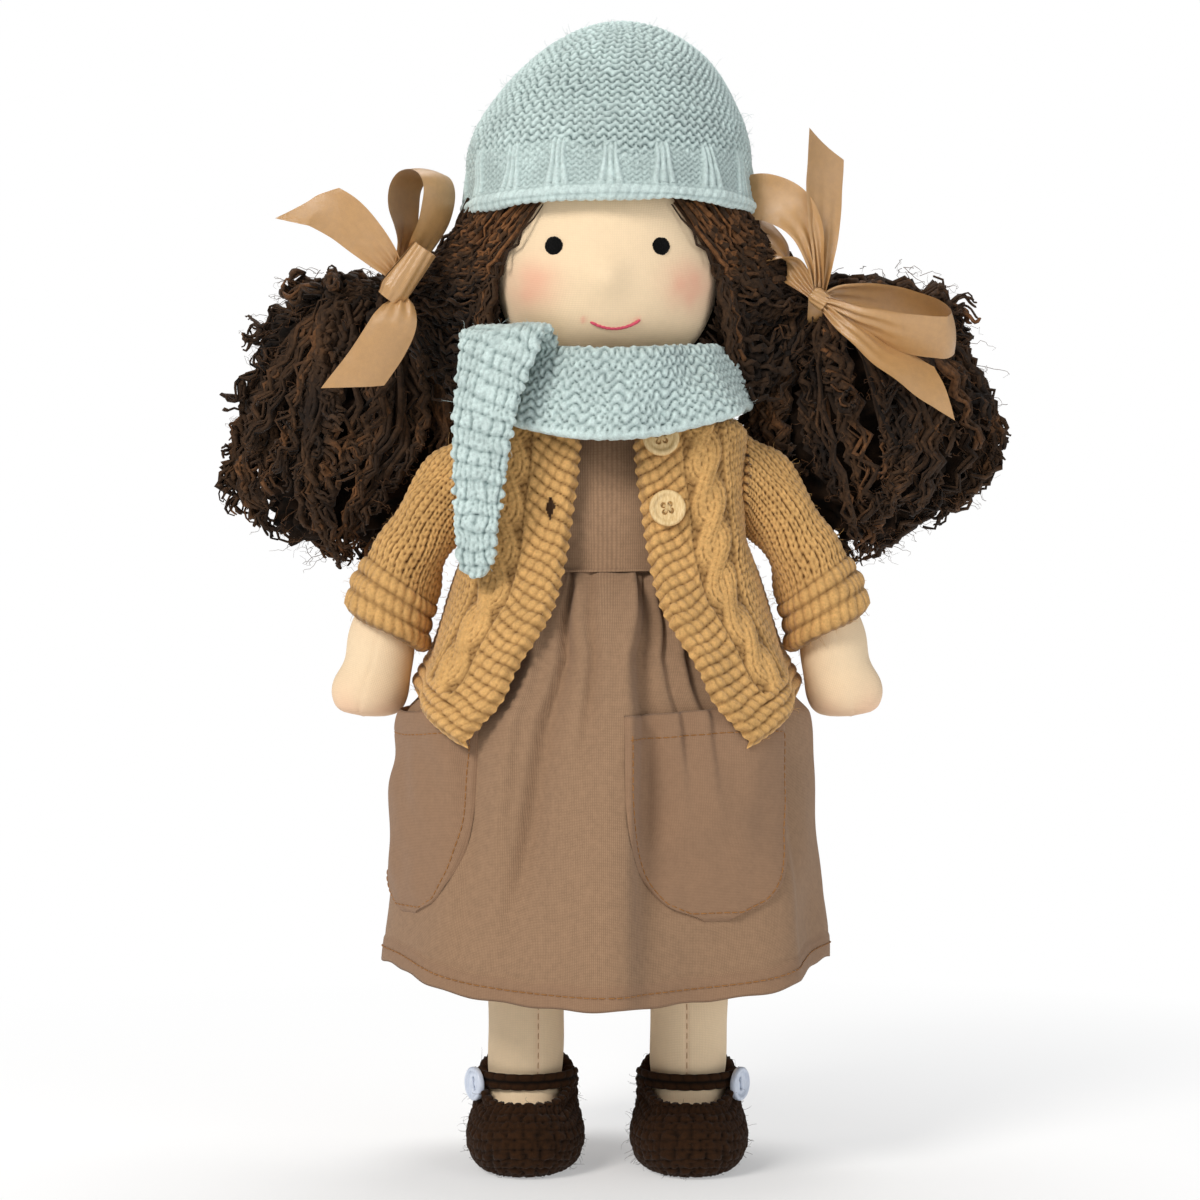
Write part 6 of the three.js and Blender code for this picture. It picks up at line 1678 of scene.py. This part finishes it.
KNOTS = {"right": np.array([-72.4, -12.5, 307.0]), "left": np.array([73.4, -12.5, 301.5])}
STRIPS = {
    "right_bow_upper_end": (0.042, -8.5, [
        (0.5, 0.5, 1.5, 0.6, 0, 0.7, 2.2), (-4.5, -1, 8, 0.7, -0.2, 0.68, 5.2),
        (-11.5, -3, 15.2, 0.66, -0.2, 0.74, 7.2), (-19, -4, 22.0, 0.6, -0.1, 0.8, 8.1),
        (-27, -4, 26.4, 0.42, 0.1, 0.9, 8.2), (-32, -3.5, 27.6, 0.3, 0.2, 0.93, 8.2),
    ]),
    "right_bow_lower_end": (0.041, -7.0, [
        (0.3, -1, -4.5, 1, 0, 0.1, 2.6), (0.6, -4.5, -8.5, 1, 0.1, 0, 5.5), (-0.6, -6.5, -14, 0.98, 0.15, -0.1, 7.6),
        (-4.2, -6.5, -21, 0.9, 0.2, -0.3, 8.3), (-9.6, -5.5, -29, 0.83, 0.2, -0.5, 8.3),
        (-15.5, -4.5, -36.5, 0.8, 0.2, -0.55, 8.3),
    ]),
    "right_bow_loop": (0.088, 0.0, [
        (0.6, 1, 2, 0.9, 0.4, 0, 2.2), (1.2, 3, 10, 0.3, 0.95, 0, 5.2), (2.0, 4.6, 18.5, 0.45, 0.89, 0, 7.6),
        (1.6, 5.0, 26.5, 0.6, 0.8, 0, 8.2), (2.4, 4.4, 33, 0.62, 0.78, 0, 8.2), (5.6, 2.4, 37.4, 0.62, 0.78, 0, 8.2),
        (9.4, -0.4, 38.6, 0.62, 0.78, 0, 8.2), (12.8, -2.8, 36.2, 0.62, 0.78, 0, 8.2),
        (14.4, -3.8, 31, 0.62, 0.78, 0, 8.2), (13.6, -3.0, 25, 0.62, 0.78, 0, 8.2), (9.6, 0, 15.5, 0.6, 0.8, 0, 7.5),
        (4.5, 2.4, 7, 0.8, 0.6, 0, 4.0), (1.5, 1.5, 2, 0.9, 0.4, 0, 2.0),
    ]),
    "left_bow_upper_end": (0.056, -4.8, [
        (0.3, 0.5, 1.5, 1, 0, 0, 1.8), (1.2, 1.5, 12, 0.93, 0.35, 0, 3.6), (2.0, 3, 26, 0.85, 0.5, 0, 6.6),
        (2.4, 3.5, 40, 0.82, 0.55, 0.05, 8.0), (2.8, 3, 54, 0.8, 0.6, 0.05, 8.2),
    ]),
    "left_bow_upper_loop": (0.105, 0.0, [
        (0, 0.8, 1.5, 1, 0.1, 0, 1.6), (-1.6, 0.5, 13, 1, 0.1, 0.1, 3.2), (-4.4, 0.2, 24, 0.93, 0.05, 0.36, 6.0),
        (-10, 1.2, 31.5, 0.6, 0, 0.8, 8.0), (-18.5, 3.2, 35.6, 0.12, 0, 1, 8.2), (-26, 6.5, 35.0, 0, 0.2, 1, 8.2),
        (-29, 10, 32, -0.1, 0.3, 1, 8.2), (-24, 12.5, 26, -0.3, 0.3, 0.9, 8.0), (-12, 8, 14, -0.6, 0.4, 0.7, 6.0),
        (-1, 2.5, 1, -0.9, 0.2, 0.3, 2.0),
    ]),
    "left_bow_side_loop": (0.108, 0.0, [
        (0.8, 0.6, 0, 0.2, 0.5, -0.8, 1.8), (8, 3.4, 0.6, 0.1, 0.6, -0.8, 5.2), (18, 5.6, -0.4, 0.1, 0.6, -0.8, 7.6),
        (28, 6.6, -2.4, 0.1, 0.6, -0.8, 8.2), (38, 4.6, -5.6, 0.1, 0.6, -0.8, 8.2),
        (44, 0.4, -9.2, 0.12, 0.6, -0.8, 8.2), (45.6, -3.8, -12.2, 0.14, 0.6, -0.8, 8.2),
        (42.5, -7, -14.2, 0.14, 0.6, -0.8, 8.2), (30, -8, -12.8, 0.14, 0.6, -0.8, 8.0),
        (16.5, -6, -8, 0.2, 0.6, -0.78, 5.8), (6, -3, -3, 0.3, 0.5, -0.8, 3.0),
        (0.5, -0.8, -0.5, 0.4, 0.4, -0.8, 1.6),
    ]),
    "left_bow_lower_end": (0.055, -7.0, [
        (1, -0.5, -1.5, 0.6, 0, 0.8, 1.8), (6, -3.5, -6.5, 0.5, 0.4, 0.75, 3.4),
        (12.5, -5.5, -12.5, 0.4, 0.65, 0.62, 5.6), (24, -6.2, -21.2, 0.4, 0.7, 0.58, 7.8),
        (36, -5.2, -29.2, 0.45, 0.6, 0.65, 8.2), (43, -4.2, -33, 0.5, 0.5, 0.7, 8.2),
    ]),
}
strips = [
    ribbon(name, KNOTS[name.split("_")[0]], rows, cut, 150 if "loop" in name else 100)
    for name, (_, cut, rows) in STRIPS.items()
]
print("strips:", [strip.name for strip in strips])

# %% [markdown]
# A short piece of ribbon is wound round each knot, and a band goes round each hair tie.


# %% Knots and bands
def wound(name, knot, axis, radius, low, high, start, end, flare=0.0):
    """A tube of ribbon wound round an axis: the knot itself."""
    axis = unit(np.array(axis, float))
    first = unit(np.cross(axis, [0, 1.0, 0]))
    second = np.cross(axis, first)
    turn = np.linspace(start, end, 90)[:, None]
    run = np.linspace(0, 1, 30)[None]
    size = radius * (1 + flare * (run - 0.5) + 0.09 * (turn - start) / (end - start))
    size = size * (1 - 0.25 * smooth(0.2, 0.0, run)) + 0.2 * np.sin(9 * turn + 4 * run)
    points = knot + axis * mix(low, high, run)[..., None]
    points = points + first * (size * np.cos(turn))[..., None] + second * (size * np.sin(turn))[..., None]
    uv = together(16.5 * run, turn * radius)
    return grid_piece(name, points, "head", satin, uv=uv)


right, left = KNOTS["right"] + [1.5, -2.5, 0.5], KNOTS["left"] + [0, -0.5, 0]
strips.append(wound("right_bow_knot", right, (0.6, -0.1, 0.8), 4.7, -8, 13.5, -0.6, 6.4, -0.25))
strips.append(wound("left_bow_knot", left, (0.75, -0.1, -0.66), 2.9, -3.0, 3.4, -0.6, 6.4))
turn, run = np.linspace(0, FULL_TURN, 90)[:, None], np.linspace(-2.6, 2.6, 12)[None]
for name, side in SIDES.items():
    size = BAND_RADIUS + 0.25 * np.sin(5 * turn + run)
    points = TIE * [side, 1, 1] + together(run, size * np.cos(turn), size * np.sin(turn))
    uv = together(run * 3, turn * 10)
    strips.append(grid_piece(name + "_bow_band", points, "head", satin, uv=uv))
for strip in strips:
    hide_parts(strip.name.split("_bow")[0] + "_bow")
print("bows:", len(strips), "strips")

# %% [markdown]
# The length that each strip of ribbon was cut to, in metres, and their sum.

# %% Sheets
LENGTHS = {name: length for name, (length, _, _) in STRIPS.items()}
LENGTHS |= {"right_bow_knot": 0.045, "left_bow_knot": 0.0105, "left_bow_band": 0.020, "right_bow_band": 0.020}
print(len(strips), "strips of ribbon,", round(sum(LENGTHS.values()), 3), "m in all")
